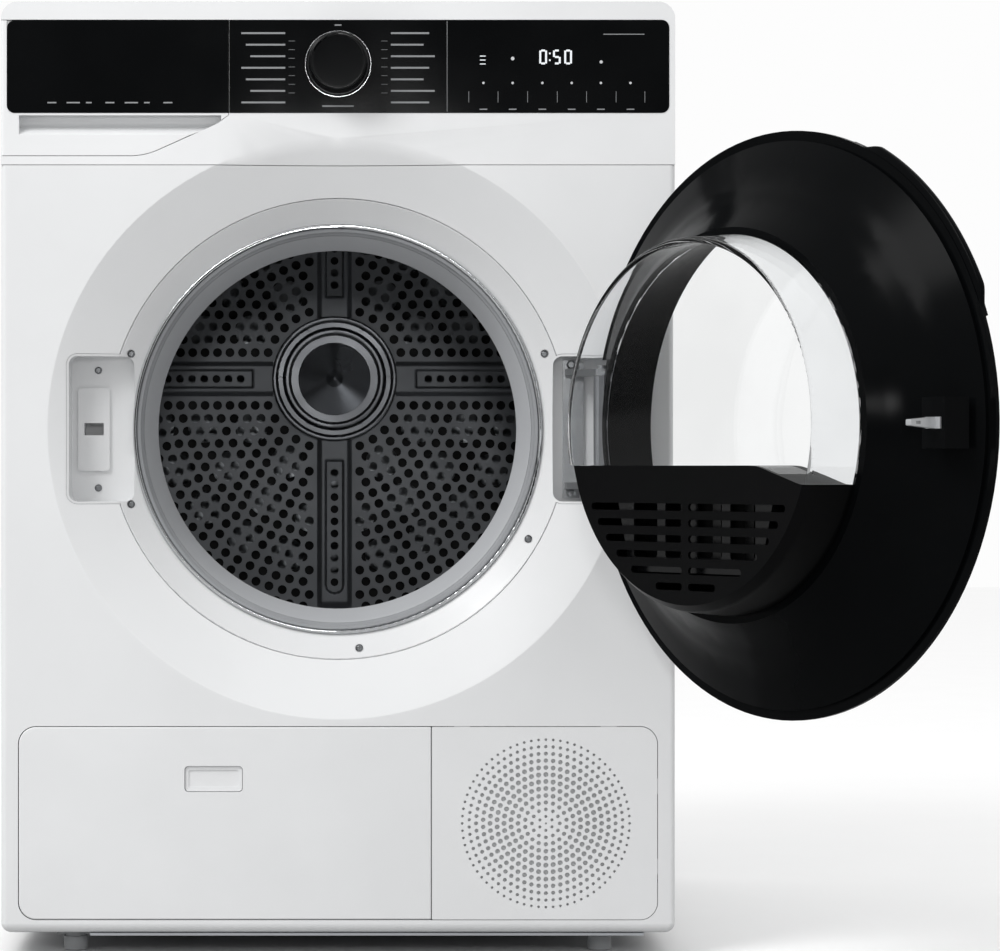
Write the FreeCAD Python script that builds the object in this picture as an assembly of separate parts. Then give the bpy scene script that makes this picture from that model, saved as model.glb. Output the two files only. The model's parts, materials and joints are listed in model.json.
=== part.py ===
"""Front-loading heat-pump clothes dryer with an open round door, one STEP file per piece.

Millimetres.  +Z is up, the front faces -Y, and the origin lies on the floor at the centre of the
four feet.  Most pieces are placed by their depth behind the front face of the cabinet, so a
positive depth runs into the cabinet and a negative one stands proud of it.
"""
import FreeCAD
import Part
import math
import os

V = FreeCAD.Vector

# ---- overall sizes -------------------------------------------------------------------------
WIDTH = 600.0
HEIGHT = 850.0
DEPTH = 600.0
FRONT = -DEPTH / 2
HALF = WIDTH / 2

# ---- clearances ----------------------------------------------------------------------------
GAP = 0.3            # between separate pieces that lie face to face
SEAM = 0.6           # visible seam between panels
FIT = 0.05           # radial running clearance of a shaft in its bore

# ---- cabinet -------------------------------------------------------------------------------
SHEET = 1.2          # steel sheet of the front panel and bulkheads
SIDE_SHEET = 1.0
FRONT_RETURN = 30.0  # how far the front panel folds back along the sides
PANEL_BOTTOM = 21.0
FASCIA_BOTTOM = 705.0
FASCIA_DEPTH = 24.0
WORKTOP_THICK = 18.0
TOP_CORNER_R = 15.0
REAR_PLATE_DEPTH = DEPTH - 5.7
REAR_PLATE = 1.2
BASE_BOTTOM = 18.5
BASE_WALL = 3.0
BASE_HEIGHT = 43.5
BASE_INSET = 10.0
CABLE_X = -238.0
CABLE_Z = 130.0

# ---- feet ----------------------------------------------------------------------------------
FOOT_X = 237.0
FOOT_Y = 245.0
FOOT_R = 11.0
FOOT_PAD = 12.0
FOOT_STUD_R = 5.0
FOOT_STUD_TOP = 58.0

# ---- loading opening -----------------------------------------------------------------------
OPENING_Z = 470.0
DISH_R = 258.5       # outer edge of the shallow dish around the opening
CREASE_R = 207.0     # where the dish meets the plastic bezel
DISH_DEPTH = 22.0
BEZEL_INNER_R = 184.6
BEZEL_DEPTH = 38.0
BEZEL_THICK = 2.6
POCKET_TOP = 65.0    # half height of the latch and hinge pockets
POCKET_DEPTH = 44.0
LATCH_POCKET_X = (-240.0, -183.0)
HINGE_POCKET_X = (193.0, 251.0)
SCREW_CIRCLE_R = 197.5
SCREW_ANGLES = (160.0, 200.0, 20.0, -30.0, -84.4)
SCREW_SEAT = 31.0
LATCH_SCREW_X = -216.0
LOCK_SLOT_X = (-228.5, -211.0)
LOCK_PLATE = (-234.0, -205.6, 432.5, 507.0)
COLLAR_FRONT_R = 174.6
COLLAR_REAR_R = 163.8
COLLAR_FRONT = 52.0
COLLAR_REAR = 88.0

# ---- drum ----------------------------------------------------------------------------------
DRUM_Z = 528.0
DRUM_R = 286.0       # inside radius
DRUM_SHEET = 1.0
NECK_R = 240.0
NECK_FRONT = 96.0
NECK_REAR = 114.0
DRUM_CONE_REAR = 150.0
DRUM_REAR = 523.0
HUB_R = 65.4
ARM_CHANNEL = 16.0
ARM_RIB = 9.0
ARM_RIB_HEIGHT = 7.0
ARM_HOLE_R = 4.1
ARM_HOLE_PITCH = 13.2
SHAFT_R = 12.5
BEARING_R = 21.0
ROLLER_R = 20.0
ROLLER_ANGLE = 28.0
ROLLER_PIN_R = 5.0

# ---- drive and heat pump -------------------------------------------------------------------
BULKHEAD_DEPTH = COLLAR_REAR + GAP
REAR_BULKHEAD_DEPTH = DRUM_REAR + 13.0
MOTOR_X = 205.0
MOTOR_Z = 160.0
MOTOR_R = 56.0
MOTOR_SHAFT_R = 6.0
PULLEY_R = 13.0
BELT_DEPTH = 306.0
BELT_WIDTH = 12.0
BELT_THICK = 2.0
FAN_R = 80.0
CHANNEL_RIGHT = 44.0
CHANNEL_FRONT = 36.3
CHANNEL_REAR = 466.0
CHANNEL_TOP = 196.0
CHANNEL_WALL = 2.5
PORT_LOW = 106.0     # air port between the channel and the fan
PORT_HIGH = 186.0
LEVER_X = (-262.0, 22.0)
LEVER_Z = 116.0
LEVER_PIN_R = 5.0

# ---- fascia, drawer and knob ---------------------------------------------------------------
GLASS_BOTTOM = 751.0
GLASS_TOP = 833.5
GLASS_EDGE = 294.5
GLASS_THICK = 2.0
GLASS_PROUD = 0.4
SPLIT_X = -97.0      # seam between the drawer and the control panel
DRAWER_BOTTOM = 712.5
GRIP_LEFT = -284.0
GRIP_RIGHT = -104.0
GRIP_LOW = 730.5
KNOB_Z = 793.9
KNOB_BASE_R = 29.6
KNOB_FACE_R = 24.8
KNOB_HEIGHT = 32.0
TANK_TOP = 826.0
TANK_WALL = 2.0
TANK_REAR = 470.0
TANK_DRUM_CLEAR = 14.0

# ---- lower front ---------------------------------------------------------------------------
LOWER_LEFT = -284.8
LOWER_RIGHT = 284.6
LOWER_BOTTOM = 32.7
LOWER_TOP = 205.3
LOWER_SPLIT = 83.2
LOWER_CORNER_R = 16.0
FLAP_THICK = 2.5
FLAP_AXIS_DEPTH = 0.0     # the flap swings about its own lower front edge
FLAP_AXIS_Z = 33.3
FLAP_ARM_X = (-260.8, 59.2)
FLAP_ARM_WIDE = 4.0
FLAP_ARM_IN = 8.0         # the curved arms behind the flap run in curved slots about that edge
FLAP_ARM_OUT = 10.5
LATCH_WINDOW = (-136.6, -84.9, 146.7, 169.8)
GRILLE_X = 184.9
GRILLE_Z = 118.8
GRILLE_R = 76.5
GRILLE_RINGS = 12

# ---- door ----------------------------------------------------------------------------------
OPEN_ANGLE = 124.6   # how far the door stands open at rest
HINGE_X = 231.0
HINGE_DEPTH = -7.0
DOOR_PLANE = -14.0   # depth of the rim's middle plane with the door shut
HOOK_X = -219.0
DOOR_R = 245.0
GRIP_R = 257.2       # outer edge of the raised grip, and where it starts and how far it runs
GRIP_START = 110.0
GRIP_SWEEP = 50.0
WINDOW_R = 187.3
LINER_EDGE_R = 155.0
LINER_EDGE = 60.0    # how far the liner reaches behind the rim plane
HOOD_FRONT_R = 157.0
HOOD_REAR_R = 153.0
HOOD_REAR = 106.0
HOOD_WALL = 3.0
SHELF_DROP = 33.0    # the filter shelf lies this far below the door's centre
FILTER_HALF = 108.0


# ---- drawing helpers -----------------------------------------------------------------------
def box(x0, x1, d0, d1, z0, z1):
    """A block between two x, two depths and two heights."""
    return Part.makeBox(x1 - x0, d1 - d0, z1 - z0, V(x0, FRONT + d0, z0))


def rod(radius, x, z, d0, d1):
    """A round bar along the depth."""
    return Part.makeCylinder(radius, d1 - d0, V(x, FRONT + d0, z), V(0, 1, 0))


def post(radius, x, depth, z0, z1):
    """A round bar standing up."""
    return Part.makeCylinder(radius, z1 - z0, V(x, FRONT + depth, z0), V(0, 0, 1))


def outline(corners, place):
    """Closed face through corners (a, b) or (a, b, radius), each put in space by place(a, b)."""
    flat = [V(c[0], c[1], 0) for c in corners]
    radii = [c[2] if len(c) > 2 else 0.0 for c in corners]
    count = len(flat)
    legs = []
    for i in range(count):
        here = flat[i]
        back = (flat[i - 1] - here).normalize()
        ahead = (flat[(i + 1) % count] - here).normalize()
        half = back.getAngle(ahead) / 2
        if radii[i] == 0.0:
            legs.append((here, None, here))
            continue
        reach = radii[i] / math.tan(half)
        middle = here + (back + ahead).normalize() * (radii[i] / math.sin(half) - radii[i])
        legs.append((here + back * reach, middle, here + ahead * reach))
    edges = []
    for i in range(count):
        start, middle, end = legs[i]
        if middle is not None:
            arc = Part.Arc(place(start.x, start.y), place(middle.x, middle.y), place(end.x, end.y))
            edges.append(arc.toShape())
        following = legs[(i + 1) % count][0]
        if (following - end).Length > 1e-6:
            edges.append(Part.LineSegment(place(end.x, end.y),
                                          place(following.x, following.y)).toShape())
    return Part.Face(Part.Wire(edges))


def turned(corners, x, z, start=0.0, sweep=360.0):
    """A turned ring: (radius, depth) corners revolved about the depth line through x, z."""
    face = outline(corners, lambda r, d: V(x + r, FRONT + d, z))
    ring = face.revolve(V(x, 0, z), V(0, 1, 0), -sweep if sweep < 360 else 360)
    ring.rotate(V(x, 0, z), V(0, 1, 0), -start)
    return ring


def plate(corners, d0, d1):
    """(x, z) corners drawn flat to the front and thickened along the depth."""
    face = outline(corners, lambda a, b: V(a, FRONT + d0, b))
    return face.extrude(V(0, d1 - d0, 0))


def rectangle(x0, x1, z0, z1, radius=0.0):
    """Corners of an upright rectangle with equal corner radii."""
    return [(x0, z0, radius), (x1, z0, radius), (x1, z1, radius), (x0, z1, radius)]


def floor_plan(corners, z0, z1):
    """(x, depth) corners drawn on the floor and raised."""
    face = outline(corners, lambda a, b: V(a, FRONT + b, z0))
    return face.extrude(V(0, 0, z1 - z0))


def rounded(solid, radius, chosen):
    """Fillet the edges for which chosen(edge) is true."""
    return solid.makeFillet(radius, [edge for edge in solid.Edges if chosen(edge)])


def along(edge, direction):
    """True for a straight edge that runs along the given axis."""
    if not isinstance(edge.Curve, Part.Line):
        return False
    return abs(abs(edge.Curve.Direction.dot(direction)) - 1) < 1e-6


def merged(shapes):
    """Fuse shapes into one clean solid."""
    whole = shapes[0]
    if len(shapes) > 1:
        whole = whole.fuse(shapes[1:])
    return whole.removeSplitter()


def on_circle(radius, angle):
    """x and z offsets at an angle seen from the front, from the right, turning upwards."""
    return radius * math.cos(math.radians(angle)), radius * math.sin(math.radians(angle))


# ---- cabinet -------------------------------------------------------------------------------
def base_tray():
    """Moulded base with walls, ribs, screw bosses for the feet and lugs for the service flap."""
    half = HALF - BASE_INSET
    front = FRONT_RETURN - 4
    rear = REAR_PLATE_DEPTH - 4
    top = BASE_BOTTOM + BASE_HEIGHT
    front_top = LOWER_BOTTOM - 2
    outer = box(-half, half, front, rear, BASE_BOTTOM, top)
    inner = box(-half + BASE_WALL, half - BASE_WALL, front + BASE_WALL, rear - BASE_WALL,
                BASE_BOTTOM + BASE_WALL, top + 1)
    tray = outer.cut([inner, box(-half - 1, half + 1, front - 1, front + BASE_WALL + 1, front_top, top + 1)])
    lip = box(LOWER_LEFT + 64, LOWER_RIGHT - 12, 4, front + 1, BASE_BOTTOM, PANEL_BOTTOM - GAP)
    bosses = [post(12, x, y - FRONT, BASE_BOTTOM, 50) for x in (-FOOT_X, FOOT_X) for y in (-FOOT_Y, FOOT_Y)]
    lugs = []
    slots = []
    for x0 in FLAP_ARM_X:
        lug = box(x0 - 3, x0 + FLAP_ARM_WIDE + 3, 3.2, front + 1, 32, 46)
        lugs.append(lug)
        lugs.append(box(x0 - 3, x0 + FLAP_ARM_WIDE + 3, front - 6, front + 2, front_top - 4, 46))
        slots.append(flap_arm_ring(x0 - GAP, FLAP_ARM_WIDE + 2 * GAP, GAP).common(lug))
    tray = merged([tray, lip] + bosses + lugs)
    holes = [post(FOOT_STUD_R + FIT, x, y - FRONT, 0, 60) for x in (-FOOT_X, FOOT_X) for y in (-FOOT_Y, FOOT_Y)]
    return tray.cut(holes + slots)


def flap_arm_ring(x0, width, grow):
    """Full ring about the flap's axis that its curved arms are cut from, grown by a clearance."""
    centre = V(x0, FRONT + FLAP_AXIS_DEPTH, FLAP_AXIS_Z)
    ring = Part.makeCylinder(FLAP_ARM_OUT + grow, width, centre, V(1, 0, 0))
    return ring.cut(Part.makeCylinder(FLAP_ARM_IN - grow, width, centre, V(1, 0, 0)))


def side_panel(side):
    """Folded steel side with narrow returns at the top, bottom and rear, and a pressed field."""
    outer_x = side * HALF
    inner_x = side * (HALF - SIDE_SHEET)
    fold_x = side * (HALF - BASE_INSET + 1)
    top = HEIGHT - WORKTOP_THICK - GAP
    front = FRONT_RETURN + GAP
    rear = REAR_PLATE_DEPTH - GAP

    def strip(xa, xb, d0, d1, z0, z1):
        return box(min(xa, xb), max(xa, xb), d0, d1, z0, z1)

    skin = strip(outer_x, inner_x, front, rear, PANEL_BOTTOM + 1, top)
    field = [(front + 70, 120, 30), (rear - 60, 120, 30), (rear - 60, top - 110, 30), (front + 70, top - 110, 30)]
    pressed = outline(field, lambda a, b: V(outer_x - side * 0.5 - 0.25, FRONT + a, b)).extrude(V(0.5, 0, 0))
    skin = skin.cut(pressed.translated(V(side * 0.25, 0, 0)))
    folds = [strip(inner_x, fold_x, front, rear, PANEL_BOTTOM + 1, PANEL_BOTTOM + 2),
             strip(inner_x, fold_x, front, rear, top - 1, top),
             strip(inner_x, side * (HALF - 14), rear - 1, rear, BASE_BOTTOM + BASE_HEIGHT + 4, top)]
    return merged([skin] + folds)


def worktop():
    """White laminated board with rounded long edges."""
    board = box(-HALF, HALF, FASCIA_DEPTH + GAP, DEPTH, HEIGHT - WORKTOP_THICK, HEIGHT - 0.4)
    board = rounded(board, TOP_CORNER_R, lambda e: along(e, V(0, 1, 0)) and e.CenterOfMass.z > HEIGHT - 1)
    return rounded(board, 1.5, lambda e: along(e, V(1, 0, 0)) and e.CenterOfMass.z > HEIGHT - 1)


def rear_panel():
    """Steel back with a raised round cover over the air duct, louvres and a cable hole."""
    half = HALF - SIDE_SHEET - GAP
    top = HEIGHT - WORKTOP_THICK - GAP
    skin = box(-half, half, REAR_PLATE_DEPTH, REAR_PLATE_DEPTH + REAR_PLATE, PANEL_BOTTOM + 1, top)
    cover_r = DRUM_R - 44
    skin = skin.cut(rod(cover_r - 3, 0, DRUM_Z, REAR_PLATE_DEPTH - 1, DEPTH))
    cover = turned([(0, DEPTH - REAR_PLATE), (cover_r - 5, DEPTH - REAR_PLATE), (cover_r - 5, REAR_PLATE_DEPTH),
                    (cover_r, REAR_PLATE_DEPTH), (cover_r, REAR_PLATE_DEPTH + REAR_PLATE),
                    (cover_r - 3.8, REAR_PLATE_DEPTH + REAR_PLATE), (cover_r - 3.8, DEPTH), (0, DEPTH)], 0, DRUM_Z)
    skin = merged([skin, cover])
    slots = []
    for row in range(8):
        z = 60 + row * 14
        for x in (60, 150, 240):
            slots.append(plate(rectangle(x - 34, x + 34, z - 2.5, z + 2.5, 2.4),
                               REAR_PLATE_DEPTH - 1, REAR_PLATE_DEPTH + 3))
    cable = rod(11, CABLE_X, CABLE_Z, REAR_PLATE_DEPTH - 1, REAR_PLATE_DEPTH + 3)
    return skin.cut(slots + [cable])


def cable_inlet():
    """Strain relief in the back for the mains lead."""
    body = turned([(5, REAR_PLATE_DEPTH - 14), (9, REAR_PLATE_DEPTH - 14), (9, REAR_PLATE_DEPTH - GAP - 3),
                   (14, REAR_PLATE_DEPTH - GAP - 3), (14, REAR_PLATE_DEPTH - GAP), (10.7, REAR_PLATE_DEPTH - GAP),
                   (10.7, REAR_PLATE_DEPTH + REAR_PLATE + GAP), (15, REAR_PLATE_DEPTH + REAR_PLATE + GAP),
                   (13, DEPTH - 0.5), (5, DEPTH - 0.5)], CABLE_X, CABLE_Z)
    return body


def front_panel():
    """Folded steel front with a shallow dish around the opening and cut-outs for the plinth."""
    top = FASCIA_BOTTOM - SEAM
    outer = box(-HALF, HALF, 0, FRONT_RETURN, PANEL_BOTTOM, top)
    outer = rounded(outer, 5.0, lambda e: along(e, V(0, 0, 1)) and e.CenterOfMass.y < FRONT + 1)
    outer = rounded(outer, 9.0, lambda e: along(e, V(1, 0, 0)) and e.CenterOfMass.y < FRONT + 1
                    and e.CenterOfMass.z < PANEL_BOTTOM + 1)
    inner = box(-HALF + SHEET, HALF - SHEET, SHEET, FRONT_RETURN + 1, PANEL_BOTTOM + SHEET, top - SHEET)
    inner = rounded(inner, 5.0 - SHEET, lambda e: along(e, V(0, 0, 1)) and e.CenterOfMass.y < FRONT + 2)
    inner = rounded(inner, 9.0 - SHEET, lambda e: along(e, V(1, 0, 0)) and e.CenterOfMass.y < FRONT + 2
                    and e.CenterOfMass.z < PANEL_BOTTOM + 2)
    under = HALF - BASE_INSET + 2
    skin = outer.cut([inner, box(-under, under, 16, FRONT_RETURN + 1, PANEL_BOTTOM - 1, PANEL_BOTTOM + 3),
                      rod(DISH_R + 2, 0, OPENING_Z, -1, SHEET + 1)])
    dish = turned([(DISH_R + 3, 0), (DISH_R, 0, 4), (CREASE_R, DISH_DEPTH), (CREASE_R, DISH_DEPTH + 9),
                   (CREASE_R + SHEET, DISH_DEPTH + 9), (CREASE_R + SHEET, DISH_DEPTH + 1.0),
                   (DISH_R + 0.4, SHEET, 2), (DISH_R + 3, SHEET)], 0, OPENING_Z, 45)
    chord = math.sqrt(DISH_R ** 2 - (top - OPENING_Z) ** 2) + 6
    skin = skin.cut(box(-chord, chord, SHEET, FRONT_RETURN + 1, top - SHEET - 0.5, top + 1))
    skin = merged([skin, dish.common(box(-HALF, HALF, -1, 60, 0, top))])
    cuts = [plate(rectangle(LOWER_LEFT, LOWER_RIGHT, LOWER_BOTTOM, LOWER_TOP, LOWER_CORNER_R), -1, 5)]
    for x0, x1 in (LATCH_POCKET_X, HINGE_POCKET_X):
        cuts.append(plate(pocket_corners(x0, x1, 2 + GAP), -1, FRONT_RETURN + 5))
    return skin.cut(cuts)


def before_dish():
    """Everything that lies in front of the dish."""
    return turned([(0, -5), (DISH_R + 0.5, -5), (DISH_R + 0.5, 0), (CREASE_R, DISH_DEPTH), (0, DISH_DEPTH)],
                  0, OPENING_Z)


def pocket_corners(x0, x1, grow):
    """Rounded rectangle of a side pocket, grown by a wall or a clearance."""
    return rectangle(x0 - grow, x1 + grow, OPENING_Z - POCKET_TOP - grow, OPENING_Z + POCKET_TOP + grow,
                     8 + grow)


def behind_dish(depth):
    """Everything that lies behind the dish and the bezel face, down to a depth."""
    return turned([(0, BEZEL_DEPTH), (BEZEL_INNER_R, BEZEL_DEPTH), (CREASE_R, DISH_DEPTH), (DISH_R, 0),
                   (DISH_R + 30, 0), (DISH_R + 30, depth), (0, depth)], 0, OPENING_Z)


def opening_bezel():
    """White plastic ring round the opening, with the latch pocket and the hinge pocket."""
    rim = CREASE_R - GAP
    ring = turned([(rim, DISH_DEPTH + 0.2, 0.8), (BEZEL_INNER_R, BEZEL_DEPTH, 0.8), (BEZEL_INNER_R, BEZEL_DEPTH + 9),
                   (BEZEL_INNER_R + 2.4, BEZEL_DEPTH + 9), (BEZEL_INNER_R + 2.4, BEZEL_DEPTH + 1.6),
                   (rim - 2.4, DISH_DEPTH + 5.2), (rim - 2.4, DISH_DEPTH + 11), (rim, DISH_DEPTH + 11)],
                  0, OPENING_Z)
    wells = []
    hollows = []
    for x0, x1 in (LATCH_POCKET_X, HINGE_POCKET_X):
        wells.append(plate(pocket_corners(x0, x1, 2), 0, POCKET_DEPTH + 2).common(behind_dish(POCKET_DEPTH + 2)))
        hollows.append(plate(pocket_corners(x0, x1, 0), -1, POCKET_DEPTH))
    throat = rod(BEZEL_INNER_R, 0, OPENING_Z, -1, POCKET_DEPTH + 10)
    lock_x0, lock_x1, lock_z0, lock_z1 = LOCK_PLATE
    lock_hole = box(lock_x0 + 3, lock_x1 - 3, POCKET_DEPTH - 1, POCKET_DEPTH + 3, lock_z0 + 6, lock_z1 - 6)
    bosses = []
    holes = []
    for angle in SCREW_ANGLES:
        x, z = on_circle(SCREW_CIRCLE_R, angle)
        bosses.append(rod(5.4, x, OPENING_Z + z, DISH_DEPTH, SCREW_SEAT + 5).common(behind_dish(POCKET_DEPTH + 2)))
        holes.append(rod(3.8, x, OPENING_Z + z, 0, SCREW_SEAT))
        holes.append(rod(1.9 + FIT, x, OPENING_Z + z, 0, POCKET_DEPTH))
    for z in (OPENING_Z - 53, OPENING_Z + 53):
        holes.append(rod(1.9 + FIT, LATCH_SCREW_X, z, POCKET_DEPTH - 1, POCKET_DEPTH + 3))
    return merged([ring] + wells + bosses).cut(hollows + [throat, lock_hole] + holes)


def screw(radius, x, z, seat, length):
    """A pan-head screw with a cross recess, its head proud of its seat."""
    head = turned([(0, seat - 2.2), (radius * 0.6, seat - 2.2, 0.4), (radius, seat - 0.6), (radius, seat),
                   (1.9, seat), (1.9, seat + length), (0, seat + length)], x, z)
    slots = [box(x - radius * 0.6, x + radius * 0.6, seat - 3, seat - 1.2, z - 0.4, z + 0.4),
             box(x - 0.4, x + 0.4, seat - 3, seat - 1.2, z - radius * 0.6, z + radius * 0.6)]
    return head.cut(slots)


def bezel_screws():
    """Small screws that hold the bezel, and the two that hold the latch pocket."""
    pieces = []
    for angle in SCREW_ANGLES:
        x, z = on_circle(SCREW_CIRCLE_R, angle)
        pieces.append(screw(3.3, x, OPENING_Z + z, SCREW_SEAT, 8))
    for z in (OPENING_Z - 53, OPENING_Z + 53):
        pieces.append(screw(3.3, LATCH_SCREW_X, z, POCKET_DEPTH, 6))
    return Part.makeCompound(pieces)


def chrome_ring():
    """Bright trim ring on the inner edge of the bezel."""
    return turned([(BEZEL_INNER_R - GAP, BEZEL_DEPTH - 3, 1.0), (BEZEL_INNER_R - GAP, BEZEL_DEPTH + 4),
                   (BEZEL_INNER_R - 3.4, BEZEL_DEPTH + 4), (BEZEL_INNER_R - 3.4, BEZEL_DEPTH - 3, 1.0)],
                  0, OPENING_Z)


def door_seal():
    """Grey rubber lip seal between the bright ring and the collar."""
    outer = BEZEL_INNER_R - 3.4 - GAP
    inner = COLLAR_FRONT_R + 0.2
    return turned([(outer, BEZEL_DEPTH - 1, 1.0), (outer, COLLAR_FRONT - GAP), (inner, COLLAR_FRONT - GAP),
                   (inner, BEZEL_DEPTH + 7, 1.0), (inner + 2.6, BEZEL_DEPTH + 5.5, 0.8),
                   (inner + 2.2, BEZEL_DEPTH + 0.5, 1.2)], 0, OPENING_Z)


def drum_collar():
    """Grey plastic funnel from the seal to the drum."""
    return turned([(COLLAR_FRONT_R, COLLAR_FRONT, 1.0), (COLLAR_REAR_R, COLLAR_REAR - 1),
                   (COLLAR_REAR_R, COLLAR_REAR), (COLLAR_FRONT_R + 30, COLLAR_REAR),
                   (COLLAR_FRONT_R + 30, COLLAR_REAR - 2.5), (COLLAR_REAR_R + 4, COLLAR_REAR - 2.5),
                   (COLLAR_FRONT_R + 2.4, COLLAR_FRONT + 2.6), (BEZEL_INNER_R + 2, COLLAR_FRONT + 2.4),
                   (BEZEL_INNER_R + 2, COLLAR_FRONT)], 0, OPENING_Z)


# ---- drum ----------------------------------------------------------------------------------
def roller_centres():
    """Centre of each support roller, under the drum's neck."""
    reach = NECK_R + DRUM_SHEET + GAP + ROLLER_R
    return [(side * reach * math.sin(math.radians(ROLLER_ANGLE)),
             DRUM_Z - reach * math.cos(math.radians(ROLLER_ANGLE))) for side in (-1, 1)]


def front_bulkhead():
    """Steel wall behind the front panel: carries the collar, the felt spigot and the rollers."""
    rear = BULKHEAD_DEPTH + SHEET
    half = HALF - BASE_INSET
    wall = box(-half, half, BULKHEAD_DEPTH, rear, CHANNEL_TOP + 6, HEIGHT - WORKTOP_THICK - 8)
    spigot_r = NECK_R - 8
    wall = wall.cut(rod(COLLAR_REAR_R + 1.4, 0, OPENING_Z, 0, DEPTH))
    spigot = turned([(spigot_r - SHEET, BULKHEAD_DEPTH + 0.2), (spigot_r, BULKHEAD_DEPTH + 0.2),
                     (spigot_r, NECK_REAR - 6), (spigot_r - SHEET, NECK_REAR - 6)], 0, DRUM_Z)
    pins = [rod(ROLLER_PIN_R, x, z, BULKHEAD_DEPTH + 0.2, NECK_REAR + 1) for x, z in roller_centres()]
    wall = merged([wall, spigot] + pins)
    return wall.cut(plate(tank_section(6.0), BULKHEAD_DEPTH - 1, rear + 1))


def felt_seal():
    """Felt ring on the spigot that the drum's neck rubs on."""
    return turned([(NECK_R - 8 + GAP, NECK_FRONT), (NECK_R - 2 * GAP, NECK_FRONT), (NECK_R - 2 * GAP, NECK_REAR - 6),
                   (NECK_R - 8 + GAP, NECK_REAR - 6)], 0, DRUM_Z)


def support_roller(index):
    """Rubber-tyred roller on its bulkhead pin."""
    x, z = roller_centres()[index]
    return turned([(ROLLER_PIN_R + FIT, NECK_FRONT + 2), (ROLLER_R, NECK_FRONT + 2, 1.0),
                   (ROLLER_R, NECK_REAR - 3, 1.0), (ROLLER_PIN_R + FIT, NECK_REAR - 3)], x, z)


def drum_shell():
    """Rolled steel drum with a necked front."""
    out = DRUM_SHEET
    return turned([(NECK_R, NECK_FRONT), (NECK_R, NECK_REAR, 6), (DRUM_R, DRUM_CONE_REAR, 12),
                   (DRUM_R, DRUM_REAR + 1.6), (DRUM_R - 7, DRUM_REAR + 1.6), (DRUM_R - 7, DRUM_REAR + 2.6),
                   (DRUM_R + out, DRUM_REAR + 2.6), (DRUM_R + out, DRUM_CONE_REAR - 0.5, 12),
                   (NECK_R + out, NECK_REAR - 0.5, 6), (NECK_R + out, NECK_FRONT)], 0, DRUM_Z)


def drum_back():
    """Pressed drum back: four ribbed arms with a row of air holes along each."""
    reach = DRUM_R - 16
    disc = rod(DRUM_R - 0.2, 0, DRUM_Z, DRUM_REAR, DRUM_REAR + 1.2)
    middle = (ARM_CHANNEL + ARM_RIB) / 2
    ribs = []
    holes = []
    for turn in range(4):
        for side in (-1, 1):
            rib = box(HUB_R + 0.5, reach, DRUM_REAR - ARM_RIB_HEIGHT, DRUM_REAR + 0.4,
                      DRUM_Z + side * middle - ARM_RIB / 2, DRUM_Z + side * middle + ARM_RIB / 2)
            rib = rounded(rib, 3.0, lambda e: e.CenterOfMass.y < FRONT + DRUM_REAR - ARM_RIB_HEIGHT + 0.1)
            rib.rotate(V(0, 0, DRUM_Z), V(0, 1, 0), 90 * turn)
            ribs.append(rib)
        first = HUB_R + 24
        for step in range(int((reach - 8 - first) / ARM_HOLE_PITCH) + 1):
            dx, dz = on_circle(first + step * ARM_HOLE_PITCH, 90 * turn)
            holes.append(rod(ARM_HOLE_R, dx, DRUM_Z + dz, DRUM_REAR - 1, DRUM_REAR + 2))
    holes.append(rod(SHAFT_R + 4, 0, DRUM_Z, DRUM_REAR - 1, DRUM_REAR + 2))
    return merged([disc] + ribs).cut(holes)


def drum_hub():
    """Dark hub cover with a rim, a trough with screw holes and a polished cone."""
    face = DRUM_REAR - GAP
    body = turned([(0, face - 26), (9, face - 20, 4), (37.6, face - 8), (37.6, face - 4), (45, face - 4),
                   (47, face - 13, 1.5), (51, face - 13, 1.5), (54, face - 7), (58.5, face - 7),
                   (60.5, face - 14, 1.5), (HUB_R - 0.6, face - 14, 2), (HUB_R, face - 3), (HUB_R, face),
                   (0, face)], 0, DRUM_Z)
    holes = []
    for index in range(6):
        dx, dz = on_circle(56.2, 60 * index)
        holes.append(rod(2.4, dx, DRUM_Z + dz, face - 9, face - 1.5))
    return body.cut(holes)


def drum_shaft():
    """Rear shaft with the flange that is screwed to the drum back."""
    rear = REAR_BULKHEAD_DEPTH + 18
    flange = DRUM_REAR + 1.2 + GAP
    return turned([(0, DRUM_REAR + GAP), (SHAFT_R, DRUM_REAR + GAP), (SHAFT_R, flange), (58, flange),
                   (58, flange + 4), (SHAFT_R + 5, flange + 6), (SHAFT_R + 5, REAR_BULKHEAD_DEPTH + 1),
                   (SHAFT_R, REAR_BULKHEAD_DEPTH + 1), (SHAFT_R, rear), (0, rear)], 0, DRUM_Z)


def drum_lifters():
    """Three hollow-looking plastic ribs that lift the laundry."""
    pieces = []
    root = DRUM_R - GAP
    for angle in (90, 210, 330):
        profile = outline([(root - 6, -34), (root - 56, -7, 6), (root - 56, 7, 6), (root - 6, 34)],
                          lambda a, b: V(a, FRONT + DRUM_CONE_REAR + 20, DRUM_Z + b))
        ridge = profile.extrude(V(0, DRUM_REAR - DRUM_CONE_REAR - 50, 0))
        ridge = rounded(ridge, 10, lambda e: along(e, V(0, 0, 1)) and e.CenterOfMass.x < root - 50)
        ridge = ridge.common(rod(root, 0, DRUM_Z, 0, DEPTH))
        ridge.rotate(V(0, 0, DRUM_Z), V(0, 1, 0), -angle)
        pieces.append(ridge)
    return Part.makeCompound(pieces)


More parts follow.
